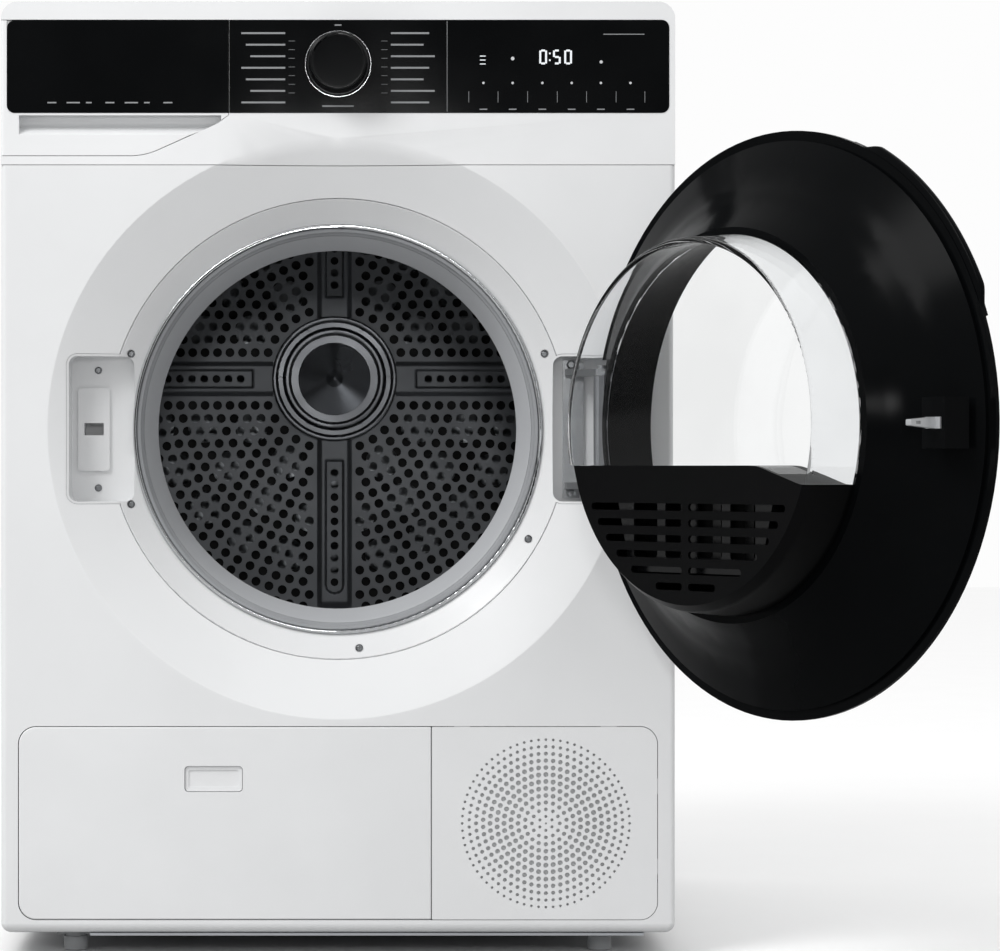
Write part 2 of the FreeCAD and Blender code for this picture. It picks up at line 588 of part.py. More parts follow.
def rear_bulkhead():
    """Steel wall behind the drum with a ring of air openings and the bearing boss."""
    front = REAR_BULKHEAD_DEPTH
    half = HALF - BASE_INSET
    wall = box(-half, half, front, front + SHEET, CHANNEL_TOP + 6, HEIGHT - WORKTOP_THICK - 8)
    boss = turned([(0, front + 0.2), (BEARING_R + 8, front + 0.2), (BEARING_R + 8, front + 18),
                   (0, front + 18)], 0, DRUM_Z)
    bore = [rod(BEARING_R + FIT, 0, DRUM_Z, front + 3, front + 20), rod(SHAFT_R + 6, 0, DRUM_Z, front - 1, front + 20)]
    windows = []
    for ring, count in ((100, 12), (145, 18), (190, 24)):
        for index in range(count):
            dx, dz = on_circle(ring, 360.0 / count * index)
            windows.append(rod(17, dx, DRUM_Z + dz, front - 1, front + SHEET + 1))
    scroll_room = rod(FAN_R + 12, MOTOR_X, MOTOR_Z, front - 1, front + 5)
    return merged([wall, boss]).cut(bore + windows + [scroll_room])


def rear_bearing():
    """Ball bearing ring that carries the drum shaft."""
    front = REAR_BULKHEAD_DEPTH + 3 + GAP
    return turned([(SHAFT_R + FIT, front), (BEARING_R, front), (BEARING_R, front + 13), (SHAFT_R + FIT, front + 13)],
                  0, DRUM_Z)


# ---- drive and heat pump -------------------------------------------------------------------
def rear_duct():
    """Air duct behind the drum, its neck, the fan scroll and the inlet from the channel."""
    front = REAR_BULKHEAD_DEPTH + SHEET + GAP
    rear = REAR_PLATE_DEPTH - 4
    wall = CHANNEL_WALL
    pan_r = DRUM_R - 50
    neck = (MOTOR_X - 88, MOTOR_X + 88, MOTOR_Z - 88, DRUM_Z - 120)
    scroll_front = CHANNEL_REAR
    plenum = (CHANNEL_RIGHT + GAP, MOTOR_X + 62, scroll_front - 38, PORT_LOW - 5, MOTOR_Z + 58)
    outer = merged([rod(pan_r, 0, DRUM_Z, front, rear), box(neck[0], neck[1], front, rear, neck[2], neck[3]),
                    rod(FAN_R + 9, MOTOR_X, MOTOR_Z, scroll_front, front + 1),
                    box(plenum[0], plenum[1], plenum[2], scroll_front + 1, plenum[3], plenum[4])])
    inner = [rod(pan_r - wall, 0, DRUM_Z, front - 1, rear - wall),
             box(neck[0] + wall, neck[1] - wall, front + wall, rear - wall, neck[2] + wall, neck[3] - wall),
             rod(FAN_R + 9 - wall, MOTOR_X, MOTOR_Z, scroll_front + wall, front + wall + 1),
             box(plenum[0] - 1, plenum[1] - wall, plenum[2] + wall, scroll_front, plenum[3] + wall, plenum[4] - wall),
             rod(52, MOTOR_X, MOTOR_Z, scroll_front - 6, scroll_front + wall + 1),
             rod(MOTOR_SHAFT_R + 2, MOTOR_X, MOTOR_Z, plenum[2] - 1, scroll_front)]
    return outer.cut(inner)


def air_channel():
    """Plastic tunnel along the left of the base that holds both heat exchangers."""
    left = -HALF + BASE_INSET + BASE_WALL + 2
    floor = BASE_BOTTOM + BASE_WALL
    wall = CHANNEL_WALL
    outer = box(left, CHANNEL_RIGHT, CHANNEL_FRONT, CHANNEL_REAR, floor, CHANNEL_TOP)
    outer = rounded(outer, 10, lambda e: along(e, V(0, 1, 0)) and e.CenterOfMass.z > CHANNEL_TOP - 1)
    inner = box(left + wall, CHANNEL_RIGHT - wall, CHANNEL_FRONT - 1, CHANNEL_REAR - wall, floor + wall,
                CHANNEL_TOP - wall)
    port = box(CHANNEL_RIGHT - wall - 1, CHANNEL_RIGHT + 1, CHANNEL_REAR - 35, CHANNEL_REAR - 4,
               PORT_LOW, PORT_HIGH)
    boss_room = post(13, -FOOT_X, -FOOT_Y - FRONT, floor - 1, 52)
    return outer.cut([inner, port, boss_room])


def heat_exchanger(front, rear):
    """Finned block with its end plates and the return bends of its tubes."""
    left = -HALF + BASE_INSET + BASE_WALL + CHANNEL_WALL + 4
    right = CHANNEL_RIGHT - CHANNEL_WALL - 2
    low = BASE_BOTTOM + BASE_WALL + CHANNEL_WALL + 3
    high = CHANNEL_TOP - CHANNEL_WALL - 4
    bends = 10
    block = box(left + bends, right - bends, front, rear, low, high)
    slots = []
    fins = 26
    pitch = (right - left - 2 * bends - 8) / fins
    for index in range(fins):
        x = left + bends + 4 + pitch * index
        slots.append(box(x, x + pitch * 0.55, front - 1, front + 5, low + 4, high - 4))
        slots.append(box(x, x + pitch * 0.55, rear - 5, rear + 1, low + 4, high - 4))
    block = block.cut(slots)
    tubes = []
    rows = 5
    for row in range(rows):
        z = low + (high - low) * (row + 0.5) / rows
        for column in (0.3, 0.7):
            depth = front + (rear - front) * column
            tubes.append(Part.makeCylinder(4.5, right - left - 2, V(left + 1, FRONT + depth, z), V(1, 0, 0)))
    return merged([block] + tubes)


def inner_cover():
    """Plastic cover that closes the air channel behind the service flap."""
    left = -HALF + BASE_INSET + BASE_WALL + 2
    front = CHANNEL_FRONT - GAP - 6
    body = plate(rectangle(left + 2, CHANNEL_RIGHT - 2, LOWER_BOTTOM + 4, CHANNEL_TOP - 4, 8), front,
                 CHANNEL_FRONT - GAP)
    frame = plate(rectangle(left + 44, CHANNEL_RIGHT - 46, LOWER_BOTTOM + 30, CHANNEL_TOP - 26, 10), front - 1, front + 3)
    ribs = [box(left + 60 + 30 * i, left + 64 + 30 * i, front + 0.5, front + 3.2, LOWER_BOTTOM + 30, CHANNEL_TOP - 26)
            for i in range(7)]
    pivots = [rod(LEVER_PIN_R, x, LEVER_Z, front - 9, front + 1) for x in LEVER_X]
    return merged([body.cut(frame)] + ribs + pivots)


def cover_lever(index):
    """Quarter-turn lever that clamps the inner cover."""
    front = CHANNEL_FRONT - GAP - 6
    x = LEVER_X[index]
    bar = plate(rectangle(x - 7, x + 7, LEVER_Z - 32, LEVER_Z + 32, 6.5), front - 6, front - GAP)
    disc = rod(13, x, LEVER_Z, front - 8, front - GAP)
    bore = rod(LEVER_PIN_R + FIT, x, LEVER_Z, front - 10, front)
    return merged([bar, disc]).cut(bore)


def compressor():
    """Sealed compressor can with its feet and the two pipe stubs."""
    x, depth, radius = 186.0, 150.0, 62.0
    floor = BASE_BOTTOM + BASE_WALL
    can = post(radius, x, depth, floor + 14, floor + 160)
    can = rounded(can, 24, lambda e: e.CenterOfMass.z > floor + 150 or e.CenterOfMass.z < floor + 20
                  if not along(e, V(0, 0, 1)) else False)
    base = floor_plan([(x - 66, depth - 66, 16), (x + 66, depth - 66, 16), (x + 66, depth + 66, 16),
                       (x - 66, depth + 66, 16)], floor + 10, floor + 16)
    feet = [post(11, x + sx * 52, depth + sy * 52, floor, floor + 11) for sx in (-1, 1) for sy in (-1, 1)]
    stubs = [post(5, x - 22, depth + 20, floor + 150, floor + 178), post(4, x + 24, depth + 14, floor + 150, floor + 172)]
    return merged([can, base] + feet + stubs)


def motor():
    """Drive motor with its cradle, bored for the shaft."""
    front = BELT_DEPTH + BELT_WIDTH + 14
    rear = CHANNEL_REAR - 38 - 4
    can = rod(MOTOR_R, MOTOR_X, MOTOR_Z, front, rear)
    caps = [rod(MOTOR_R - 14, MOTOR_X, MOTOR_Z, front - 6, front + 1), rod(MOTOR_R - 20, MOTOR_X, MOTOR_Z, rear - 1, rear + 2)]
    cradle = [box(MOTOR_X - 40, MOTOR_X + 40, front + 8, front + 22, BASE_BOTTOM + BASE_WALL, MOTOR_Z - 20),
              box(MOTOR_X - 40, MOTOR_X + 40, rear - 22, rear - 8, BASE_BOTTOM + BASE_WALL, MOTOR_Z - 20)]
    body = merged([can] + caps + cradle)
    return body.cut(rod(MOTOR_SHAFT_R + FIT, MOTOR_X, MOTOR_Z, front - 10, rear + 10))


def motor_shaft():
    """Motor shaft with the ribbed belt pulley on its front end."""
    front = BELT_DEPTH - 4
    shaft = rod(MOTOR_SHAFT_R, MOTOR_X, MOTOR_Z, front, CHANNEL_REAR + 62)
    pulley = turned([(0, front), (PULLEY_R + 3, front), (PULLEY_R + 3, front + 3), (PULLEY_R, front + 3),
                     (PULLEY_R, front + BELT_WIDTH + 5), (PULLEY_R + 3, front + BELT_WIDTH + 5),
                     (PULLEY_R + 3, front + BELT_WIDTH + 8), (0, front + BELT_WIDTH + 8)], MOTOR_X, MOTOR_Z)
    return merged([shaft, pulley])


def fan_wheel():
    """Radial fan wheel on the rear end of the motor shaft."""
    front = CHANNEL_REAR + 8
    rear = CHANNEL_REAR + 58
    hub = rod(14, MOTOR_X, MOTOR_Z, rear - 20, rear)
    disc = rod(FAN_R, MOTOR_X, MOTOR_Z, rear - 2, rear)
    ring = turned([(FAN_R - 9, front), (FAN_R, front), (FAN_R, front + 3), (FAN_R - 9, front + 3)], MOTOR_X, MOTOR_Z)
    blades = []
    count = 20
    for index in range(count):
        blade = box(MOTOR_X + FAN_R - 26, MOTOR_X + FAN_R - 1, front + 1, rear - 1, MOTOR_Z - 1, MOTOR_Z + 1)
        blade.rotate(V(MOTOR_X + FAN_R - 13, 0, MOTOR_Z), V(0, 1, 0), 28)
        blade.rotate(V(MOTOR_X, 0, MOTOR_Z), V(0, 1, 0), 360.0 / count * index)
        blades.append(blade)
    wheel = merged([hub, disc, ring] + blades)
    return wheel.cut(rod(MOTOR_SHAFT_R, MOTOR_X, MOTOR_Z, front, rear + 5))


def belt_face(small_r, large_r):
    """Face bounded by the tangent loop round the pulley and the drum."""
    dx = MOTOR_X
    dz = MOTOR_Z - DRUM_Z
    distance = math.hypot(dx, dz)
    heading = math.atan2(dz, dx)
    spread = math.acos((large_r - small_r) / distance)

    def point(cx, cz, radius, angle):
        return V(cx + radius * math.cos(angle), FRONT + BELT_DEPTH, cz + radius * math.sin(angle))

    up, down = heading + spread, heading - spread
    drum_arc = Part.Arc(point(0, DRUM_Z, large_r, up), point(0, DRUM_Z, large_r, heading + math.pi),
                        point(0, DRUM_Z, large_r, down))
    pulley_arc = Part.Arc(point(MOTOR_X, MOTOR_Z, small_r, down), point(MOTOR_X, MOTOR_Z, small_r, heading),
                          point(MOTOR_X, MOTOR_Z, small_r, up))
    runs = [Part.LineSegment(point(0, DRUM_Z, large_r, down), point(MOTOR_X, MOTOR_Z, small_r, down)),
            Part.LineSegment(point(MOTOR_X, MOTOR_Z, small_r, up), point(0, DRUM_Z, large_r, up))]
    edges = [drum_arc.toShape(), runs[0].toShape(), pulley_arc.toShape(), runs[1].toShape()]
    return Part.Face(Part.Wire(edges))


def drum_belt():
    """Flat ribbed belt round the drum and the motor pulley."""
    inner_small = PULLEY_R + GAP
    inner_large = DRUM_R + DRUM_SHEET + GAP
    outer = belt_face(inner_small + BELT_THICK, inner_large + BELT_THICK).extrude(V(0, BELT_WIDTH, 0))
    inner = belt_face(inner_small, inner_large).extrude(V(0, BELT_WIDTH, 0))
    return outer.cut(inner)


# ---- fascia, drawer and knob ---------------------------------------------------------------
def drawer_corners(shrink):
    """Front outline of the drawer: flat lip, then a swoosh up to the seam."""
    right = SPLIT_X - shrink
    low = DRAWER_BOTTOM + shrink
    return [(-HALF, low), (-172, low, 60), (-108 - shrink, 741 + shrink, 26), (right, GLASS_BOTTOM - 2),
            (right, GLASS_TOP + 0.4 - shrink), (-HALF, GLASS_TOP + 0.4 - shrink)]


def fascia_frame():
    """White control panel frame: top strip, right-hand panel and the sill under the drawer."""
    body = plate([(-HALF, FASCIA_BOTTOM), (HALF, FASCIA_BOTTOM), (HALF, HEIGHT, TOP_CORNER_R),
                  (-HALF, HEIGHT, TOP_CORNER_R)], 0, FASCIA_DEPTH)
    zone = [(-HALF - 5, DRAWER_BOTTOM), (-172, DRAWER_BOTTOM, 60), (-108, 741, 26), (SPLIT_X, GLASS_BOTTOM - 2),
            (SPLIT_X, GLASS_TOP + 0.4), (-HALF - 5, GLASS_TOP + 0.4)]
    sill = OPENING_Z + DISH_R + 6
    cavity = [box(SPLIT_X + 3, HALF - 3, 4.5, FASCIA_DEPTH + 1, sill, HEIGHT - 6),
              box(SPLIT_X + 3, HALF - 3, 15, FASCIA_DEPTH + 1, FASCIA_BOTTOM + 3, sill + 1),
              box(-HALF + 14, SPLIT_X + 4, 4.5, FASCIA_DEPTH + 1, GLASS_TOP + 4, HEIGHT - 6)]
    glass_seat = plate([(SPLIT_X - 1, GLASS_BOTTOM - GAP), (GLASS_EDGE + GAP, GLASS_BOTTOM - GAP, 7),
                        (GLASS_EDGE + GAP, GLASS_TOP + GAP, 7), (SPLIT_X - 1, GLASS_TOP + GAP)], -1, GLASS_THICK)
    shaft_hole = rod(8, 0, KNOB_Z, -1, FASCIA_DEPTH)
    window = box(110, 285, 0, 8, GLASS_BOTTOM + 16, GLASS_TOP - 16)
    return body.cut([plate(zone, -1, FASCIA_DEPTH + 1)] + cavity + [glass_seat, shaft_hole, window, before_dish()])


def control_glass():
    """Glossy black control panel with a hole for the knob shaft."""
    left = SPLIT_X + 0.4
    panel = plate([(left, GLASS_BOTTOM, 0.5), (GLASS_EDGE, GLASS_BOTTOM, 6.7), (GLASS_EDGE, GLASS_TOP, 6.7),
                   (left, GLASS_TOP, 0.5)], -GLASS_PROUD, GLASS_THICK)
    return panel.cut(rod(7, 0, KNOB_Z, -2, GLASS_THICK + 1))


def control_board():
    """Printed circuit board with the knob's encoder, the display and the large components."""
    front = FASCIA_DEPTH + 2
    board = box(SPLIT_X + 16, 280, front, front + 1.6, GLASS_BOTTOM - 4, GLASS_TOP - 6)
    parts = [rod(10, 0, KNOB_Z, front - 8, front + 0.5), box(150, 250, front - 8, front + 0.5, 775, 808),
             box(40, 75, front + 1, front + 19, 760, 800), box(110, 140, front + 1, front + 23, 765, 795),
             rod(9, 200, 782, front + 1, front + 26), rod(9, 225, 782, front + 1, front + 26)]
    return merged([board] + parts).cut(rod(3 + FIT, 0, KNOB_Z, front - 9, front + 2))


def knob():
    """Programme knob: a tapered gloss cap on a short shaft."""
    cap = turned([(0, -KNOB_HEIGHT + 0.8), (KNOB_FACE_R - 2.5, -KNOB_HEIGHT + 0.8), (KNOB_FACE_R - 1.5, -KNOB_HEIGHT, 0.4),
                  (KNOB_FACE_R, -KNOB_HEIGHT, 1.0), (KNOB_BASE_R - 1.5, -4.5, 0.8), (KNOB_BASE_R, -4.0, 0.6),
                  (KNOB_BASE_R, -1.4), (3, -1.4), (3, FASCIA_DEPTH + 3), (0, FASCIA_DEPTH + 3)], 0, KNOB_Z)
    return cap


def tank_section(grow):
    """Corners of the tank behind the drum: a box in the top left corner, cut back by the drum."""
    clear_r = DRUM_R + DRUM_SHEET + TANK_DRUM_CLEAR - grow
    left = -HALF + 12 - grow
    right = -112.0 + grow
    low = DRAWER_BOTTOM + 4 - grow
    high = TANK_TOP + min(grow, 2.4)
    corners = [(left, low)]
    start = -math.sqrt(clear_r ** 2 - (low - DRUM_Z) ** 2)
    steps = 4
    for step in range(steps + 1):
        x = start + (right - start) * step / steps
        corners.append((x, DRUM_Z + math.sqrt(clear_r ** 2 - x ** 2)))
    corners += [(right, high), (left, high)]
    return corners


def tank_sleeve():
    """Plastic sleeve that the water tank slides in."""
    front = FASCIA_DEPTH + 2
    rear = TANK_REAR + 6
    outer = plate(tank_section(2.3), front, rear)
    inner = plate(tank_section(0.8), front - 1, rear - 2)
    return outer.cut(inner)


def water_tank():
    """Removable condensate tank with a filling hole near its rear and a pouring mouth."""
    front = FASCIA_DEPTH
    outer = plate(tank_section(0), front, TANK_REAR)
    hollow_section = tank_section(-TANK_WALL)
    inner = plate(hollow_section, front + TANK_WALL, TANK_REAR - TANK_WALL)
    fill = box(-225, -165, TANK_REAR - 70, TANK_REAR - 30, TANK_TOP - 10, TANK_TOP + 5)
    mouth = box(-270, -225, front + 30, front + 60, TANK_TOP - 10, TANK_TOP + 5)
    return outer.cut([inner, fill, mouth])


def drawer_front():
    """White front of the water tank with a scooped grip under the black insert."""
    body = plate(drawer_corners(SEAM), 0, FASCIA_DEPTH)
    edge_r = 3.0
    body = rounded(body, edge_r, lambda e: along(e, V(0, 0, 1)) and e.CenterOfMass.x < -HALF + 1
                   and e.CenterOfMass.y < FRONT + 1)
    seat = plate([(-GLASS_EDGE - GAP, GLASS_BOTTOM - GAP, 7), (SPLIT_X + 1, GLASS_BOTTOM - GAP),
                  (SPLIT_X + 1, GLASS_TOP + 2), (-GLASS_EDGE - GAP, GLASS_TOP + 2)], -1, GLASS_THICK)
    scoop_side = outline([(-2, GRIP_LOW), (16, GRIP_LOW + 10, 4), (16, GLASS_BOTTOM + 12, 4), (5, GLASS_BOTTOM + 12, 3),
                          (5, GLASS_BOTTOM - 2), (-2, GLASS_BOTTOM - 2)],
                         lambda a, b: V(GRIP_LEFT, FRONT + a, b))
    scoop = scoop_side.extrude(V(GRIP_RIGHT - GRIP_LEFT, 0, 0))
    return body.cut([seat, scoop])


def drawer_insert():
    """Glossy black strip on the drawer."""
    right = SPLIT_X - SEAM
    return plate([(-GLASS_EDGE, GLASS_BOTTOM, 6.7), (right, GLASS_BOTTOM, 0.5), (right, GLASS_TOP - 0.3, 0.5),
                  (-GLASS_EDGE, GLASS_TOP - 0.3, 6.7)], -GLASS_PROUD, GLASS_THICK)


# ---- lower front ---------------------------------------------------------------------------
def service_flap():
    """White flap over the heat pump, with two curved arms behind its lower edge and a latch window."""
    left, right = LOWER_LEFT + SEAM, LOWER_SPLIT - SEAM / 2
    low, high = LOWER_BOTTOM + SEAM, LOWER_TOP - SEAM
    corner = LOWER_CORNER_R - SEAM
    body = plate([(left, low, corner), (right, low, 1), (right, high, 1), (left, high, corner)], 0, FLAP_THICK)
    body = rounded(body, 1.4, lambda e: along(e, V(1, 0, 0)) and e.CenterOfMass.y < FRONT + 0.1
                   and e.CenterOfMass.z < low + 1)
    ribs = [box(left + 24, right - 16, FLAP_THICK - 0.5, FLAP_THICK + 5, z, z + 2) for z in (62, 96, 186)]
    ribs += [box(x, x + 2, FLAP_THICK - 0.5, FLAP_THICK + 5, 62, 188) for x in (left + 24, left + 110, 0, right - 18)]
    arms = [flap_arm_ring(x0, FLAP_ARM_WIDE, 0).common(box(x0, x0 + FLAP_ARM_WIDE, 1.2, 12, 28.6, 45))
            for x0 in FLAP_ARM_X]
    x0, x1, z0, z1 = LATCH_WINDOW
    collar = plate(rectangle(x0 - 2, x1 + 2, z0 - 2, z1 + 2, 5), FLAP_THICK - 0.5, FLAP_THICK + 7)
    shell = merged([body, collar] + ribs).cut(plate(rectangle(x0, x1, z0, z1, 3.5), -1, 20))
    return merged([shell] + arms)


def flap_latch():
    """Push button in the flap, set slightly below its face."""
    x0, x1, z0, z1 = LATCH_WINDOW
    pad = plate(rectangle(x0 + 0.5, x1 - 0.5, z0 + 0.5, z1 - 0.5, 3.2), 2.0, FLAP_THICK + 4)
    dished = plate(rectangle(x0 + 3.5, x1 - 3.5, z0 + 3.5, z1 - 3.5, 2.2), 1.0, 3.2)
    stem = box(x0 + 14, x1 - 14, FLAP_THICK + 3, FLAP_THICK + 12, z0 + 8, z1 - 8)
    return merged([pad.cut(dished), stem])


def grille_holes():
    """Centres and radii of the vent holes: rings that grow and shrink outwards, and a middle hole."""
    holes = [(GRILLE_X, GRILLE_Z, 0.9)]
    pitch = (GRILLE_R - 2) / GRILLE_RINGS
    for ring in range(1, GRILLE_RINGS + 1):
        count = 6 * ring
        size = 0.9 + 1.35 * math.sin(math.pi * min(1.0, (ring + 0.6) / (GRILLE_RINGS + 1.6)))
        for index in range(count):
            dx, dz = on_circle(pitch * ring, 360.0 / count * (index + 0.5 * (ring % 2)))
            holes.append((GRILLE_X + dx, GRILLE_Z + dz, size))
    return holes


def vent_grille():
    """White plinth panel with a round field of air holes."""
    left, right = LOWER_SPLIT + SEAM / 2, LOWER_RIGHT - SEAM
    low, high = LOWER_BOTTOM + SEAM, LOWER_TOP - SEAM
    corner = LOWER_CORNER_R - SEAM
    face = outline([(left, low, 1), (right, low, corner), (right, high, corner), (left, high, 1)],
                   lambda a, b: V(a, FRONT, b))
    wires = []
    for x, z, radius in grille_holes():
        wires.append(Part.Wire(Part.makeCircle(radius, V(x, FRONT, z), V(0, 1, 0))))
    panel = Part.Face([face.OuterWire] + wires)
    panel.validate()
    body = panel.extrude(V(0, FLAP_THICK, 0))
    ribs = [box(left + 4, left + 6, FLAP_THICK - 0.5, FLAP_THICK + 6, low + 6, high - 6),
            box(right - 18, right - 16, FLAP_THICK - 0.5, FLAP_THICK + 6, low + 18, high - 18)]
    ribs += [box(x, x + 14, SHEET, FLAP_THICK + 0.5, high - 3, high + 6) for x in (left + 20, right - 50)]
    ribs += [box(right - 3, right + 6, SHEET, FLAP_THICK + 0.5, z, z + 14) for z in (low + 40, high - 60)]
    return merged([body] + ribs)


def foot(x, y):
    """Levelling foot: pad, winged collar and stud in one."""
    depth = y - FRONT
    pad = post(FOOT_R, x, depth, 0, FOOT_PAD)
    collar = post(FOOT_R - 2, x, depth, FOOT_PAD - 1, BASE_BOTTOM - GAP)
    wings = box(x - 17, x + 17, depth - 3, depth + 3, FOOT_PAD + 1, BASE_BOTTOM - GAP)
    stud = post(FOOT_STUD_R, x, depth, FOOT_PAD - 1, FOOT_STUD_TOP)
    return merged([pad, collar, wings, stud])


# ---- lock and hinge ------------------------------------------------------------------------
def door_lock():
    """Lock with its face plate in the latch pocket and its body behind it."""
    x0, x1, z0, z1 = LOCK_PLATE
    face = plate(rectangle(x0, x1, z0, z1, 3), POCKET_DEPTH - 3.5, POCKET_DEPTH)
    body = box(x0 + 3.5, x1 - 3.5, POCKET_DEPTH - 0.5, POCKET_DEPTH + 32, z0 + 6.5, z1 - 6.5)
    slot = box(LOCK_SLOT_X[0], LOCK_SLOT_X[1], POCKET_DEPTH - 5, POCKET_DEPTH + 22, OPENING_Z - 5.5, OPENING_Z + 5.5)
    return merged([face, body]).cut(slot)


def hinge_bracket():
    """Steel hinge bracket in its pocket, with two ears and the hinge pin."""
    ears = []
    for z in (OPENING_Z - 54, OPENING_Z + 48):
        ears.append(floor_plan([(205, POCKET_DEPTH - 1, 1), (214, POCKET_DEPTH - 1), (HINGE_X + 5.5, HINGE_DEPTH + 2),
                                (HINGE_X + 5.5, HINGE_DEPTH - 5, 3), (HINGE_X - 5, HINGE_DEPTH - 5, 3),
                                (205, POCKET_DEPTH - 18, 3)], z, z + 6))
    base = box(203, 218, POCKET_DEPTH - 3, POCKET_DEPTH, OPENING_Z - 62, OPENING_Z + 62)
    pin = post(4, HINGE_X, HINGE_DEPTH, OPENING_Z - 57, OPENING_Z + 57)
    heads = [screw(4.2, 210.5, OPENING_Z + side * 58, POCKET_DEPTH - 3.2, 3) for side in (-1, 1)]
    return merged([base, pin] + ears + heads)


# ---- door, drawn shut and then swung open ----------------------------------------------------
def opened(shape):
    """Swing a piece of the shut door to its open rest position."""
    turned_shape = shape.copy()
    turned_shape.rotate(V(HINGE_X, FRONT + HINGE_DEPTH, 0), V(0, 0, 1), OPEN_ANGLE)
    return turned_shape


def behind_rim(corners):
    """(radius, distance behind the rim plane) corners as (radius, depth) corners."""
    return [(c[0], c[1] + DOOR_PLANE) + tuple(c[2:]) for c in corners]


def hinge_room():
    """Space cut out of the door for the hinge pin, its ears and its knuckle."""
    return box(HINGE_X - 10.8, HINGE_X + 20, HINGE_DEPTH - 9.8, HINGE_DEPTH + 40, OPENING_Z - 62, OPENING_Z + 62)


def door_ring():
    """Black gloss door ring with a domed face, a rolled rim and a raised grip."""
    shell = turned(behind_rim([(DOOR_R, 1.5), (DOOR_R, -2), (240, -5.5), (232, -9), (220, -12.5), (205, -15),
                               (WINDOW_R, -16), (WINDOW_R, -12.8), (205, -11.8), (219, -9.4),
                               (230.5, -6), (236.5, -3.2), (236.5, 1.5)]), 0, OPENING_Z)
    grip = turned(behind_rim([(DOOR_R - 5, -4.6), (GRIP_R, -4.6), (GRIP_R, 1), (DOOR_R - 5, 1)]),
                  0, OPENING_Z, GRIP_START, GRIP_SWEEP)
    return merged([shell, grip]).cut(hinge_room())


def door_glass():
    """Clear outer pane in the ring."""
    return turned(behind_rim([(0, -17.5), (60, -17.3), (120, -16.8), (WINDOW_R - GAP, -15.8), (WINDOW_R - GAP, -12.6),
                              (0, -14.3)]), 0, OPENING_Z)


def door_liner():
    """Black inner moulding: a dome from the rim to the bowl edge, and the funnel to the window."""
    outside = [(236.5, -1.5), (236.5, 4.6), (205, 21), (181, 40), (163, LINER_EDGE)]
    inside = [(LINER_EDGE_R, LINER_EDGE), (WINDOW_R - 4.8, -12.5), (WINDOW_R - 1.8, -12.5), (159, LINER_EDGE - 4),
              (179, 37), (203.5, 18), (234, 1.6), (234, -1.5)]
    shell = turned(behind_rim(outside + inside), 0, OPENING_Z)
    block = plate(rectangle(HOOK_X - 12, HOOK_X + 13, OPENING_Z - 20, OPENING_Z + 20), DOOR_PLANE + 17, DOOR_PLANE + 43)
    return merged([shell, block]).cut(hinge_room())


def shelf_corners(drop, half_width, low):
    """Space under the filter shelf: level, then a soft drop towards the latch side."""
    top = OPENING_Z - SHELF_DROP - drop
    return [(half_width, low), (half_width, top), (-85, top, 50), (-137, top - 15, 30), (-half_width, top - 15),
            (-half_width, low)]


def hood_cone(wall, front, rear):
    """Solid cone of the hood's outside, made smaller by a wall."""
    return turned(behind_rim([(0, front), (HOOD_FRONT_R - wall, front), (HOOD_REAR_R - wall, rear - 8, 8),
                              (HOOD_REAR_R - wall - 6, rear), (0, rear)]), 0, OPENING_Z)


def door_hood():
    """Clear half hood round the recess above the filter."""
    shell = turned(behind_rim([(HOOD_FRONT_R, LINER_EDGE), (HOOD_REAR_R, HOOD_REAR, 2.5),
                               (HOOD_REAR_R - 5, HOOD_REAR, 1.5), (HOOD_REAR_R - 4, HOOD_REAR - 8, 3),
                               (HOOD_FRONT_R - HOOD_WALL, LINER_EDGE)]), 0, OPENING_Z)
    below = plate(shelf_corners(-GAP, HALF, 0), DOOR_PLANE, DOOR_PLANE + 150)
    return shell.cut(below)


def filter_housing():
    """Black lower half of the door bowl with the filter well and the air intake slots."""
    room = plate(shelf_corners(0, HALF, 0), DOOR_PLANE, DOOR_PLANE + 150)
    cone = hood_cone(0, LINER_EDGE, HOOD_REAR)
    back = rod(LINER_EDGE_R - GAP - 0.5, 0, OPENING_Z, DOOR_PLANE + LINER_EDGE - 3, DOOR_PLANE + LINER_EDGE + 1)
    solid = merged([cone, back]).common(room)
    hollow = hood_cone(2.5, LINER_EDGE + 2.5, HOOD_REAR - 2.5)
    hollow = hollow.common(box(-HALF, HALF, 0, 200, 0, OPENING_Z - SHELF_DROP - 18))
    well = plate(rectangle(-FILTER_HALF - 0.5, FILTER_HALF + 0.5, OPENING_Z - SHELF_DROP - 30, OPENING_Z - SHELF_DROP + 5),
                 DOOR_PLANE + LINER_EDGE + 4, DOOR_PLANE + HOOD_REAR - 3.5)
    slots = []
    for row in range(6):
        z = OPENING_Z - SHELF_DROP - 34 - row * 13
        half_row = math.sqrt(max(0.0, (HOOD_REAR_R - 16) ** 2 - (OPENING_Z - z) ** 2))
        for side in (-1, 1):
            x0, x1 = sorted((side * 4, side * half_row))
            slots.append(plate(rectangle(x0, x1, z - 3, z + 3, 2.9), DOOR_PLANE + HOOD_REAR - 6, DOOR_PLANE + HOOD_REAR + 1))
    return solid.cut([hollow, well] + slots)


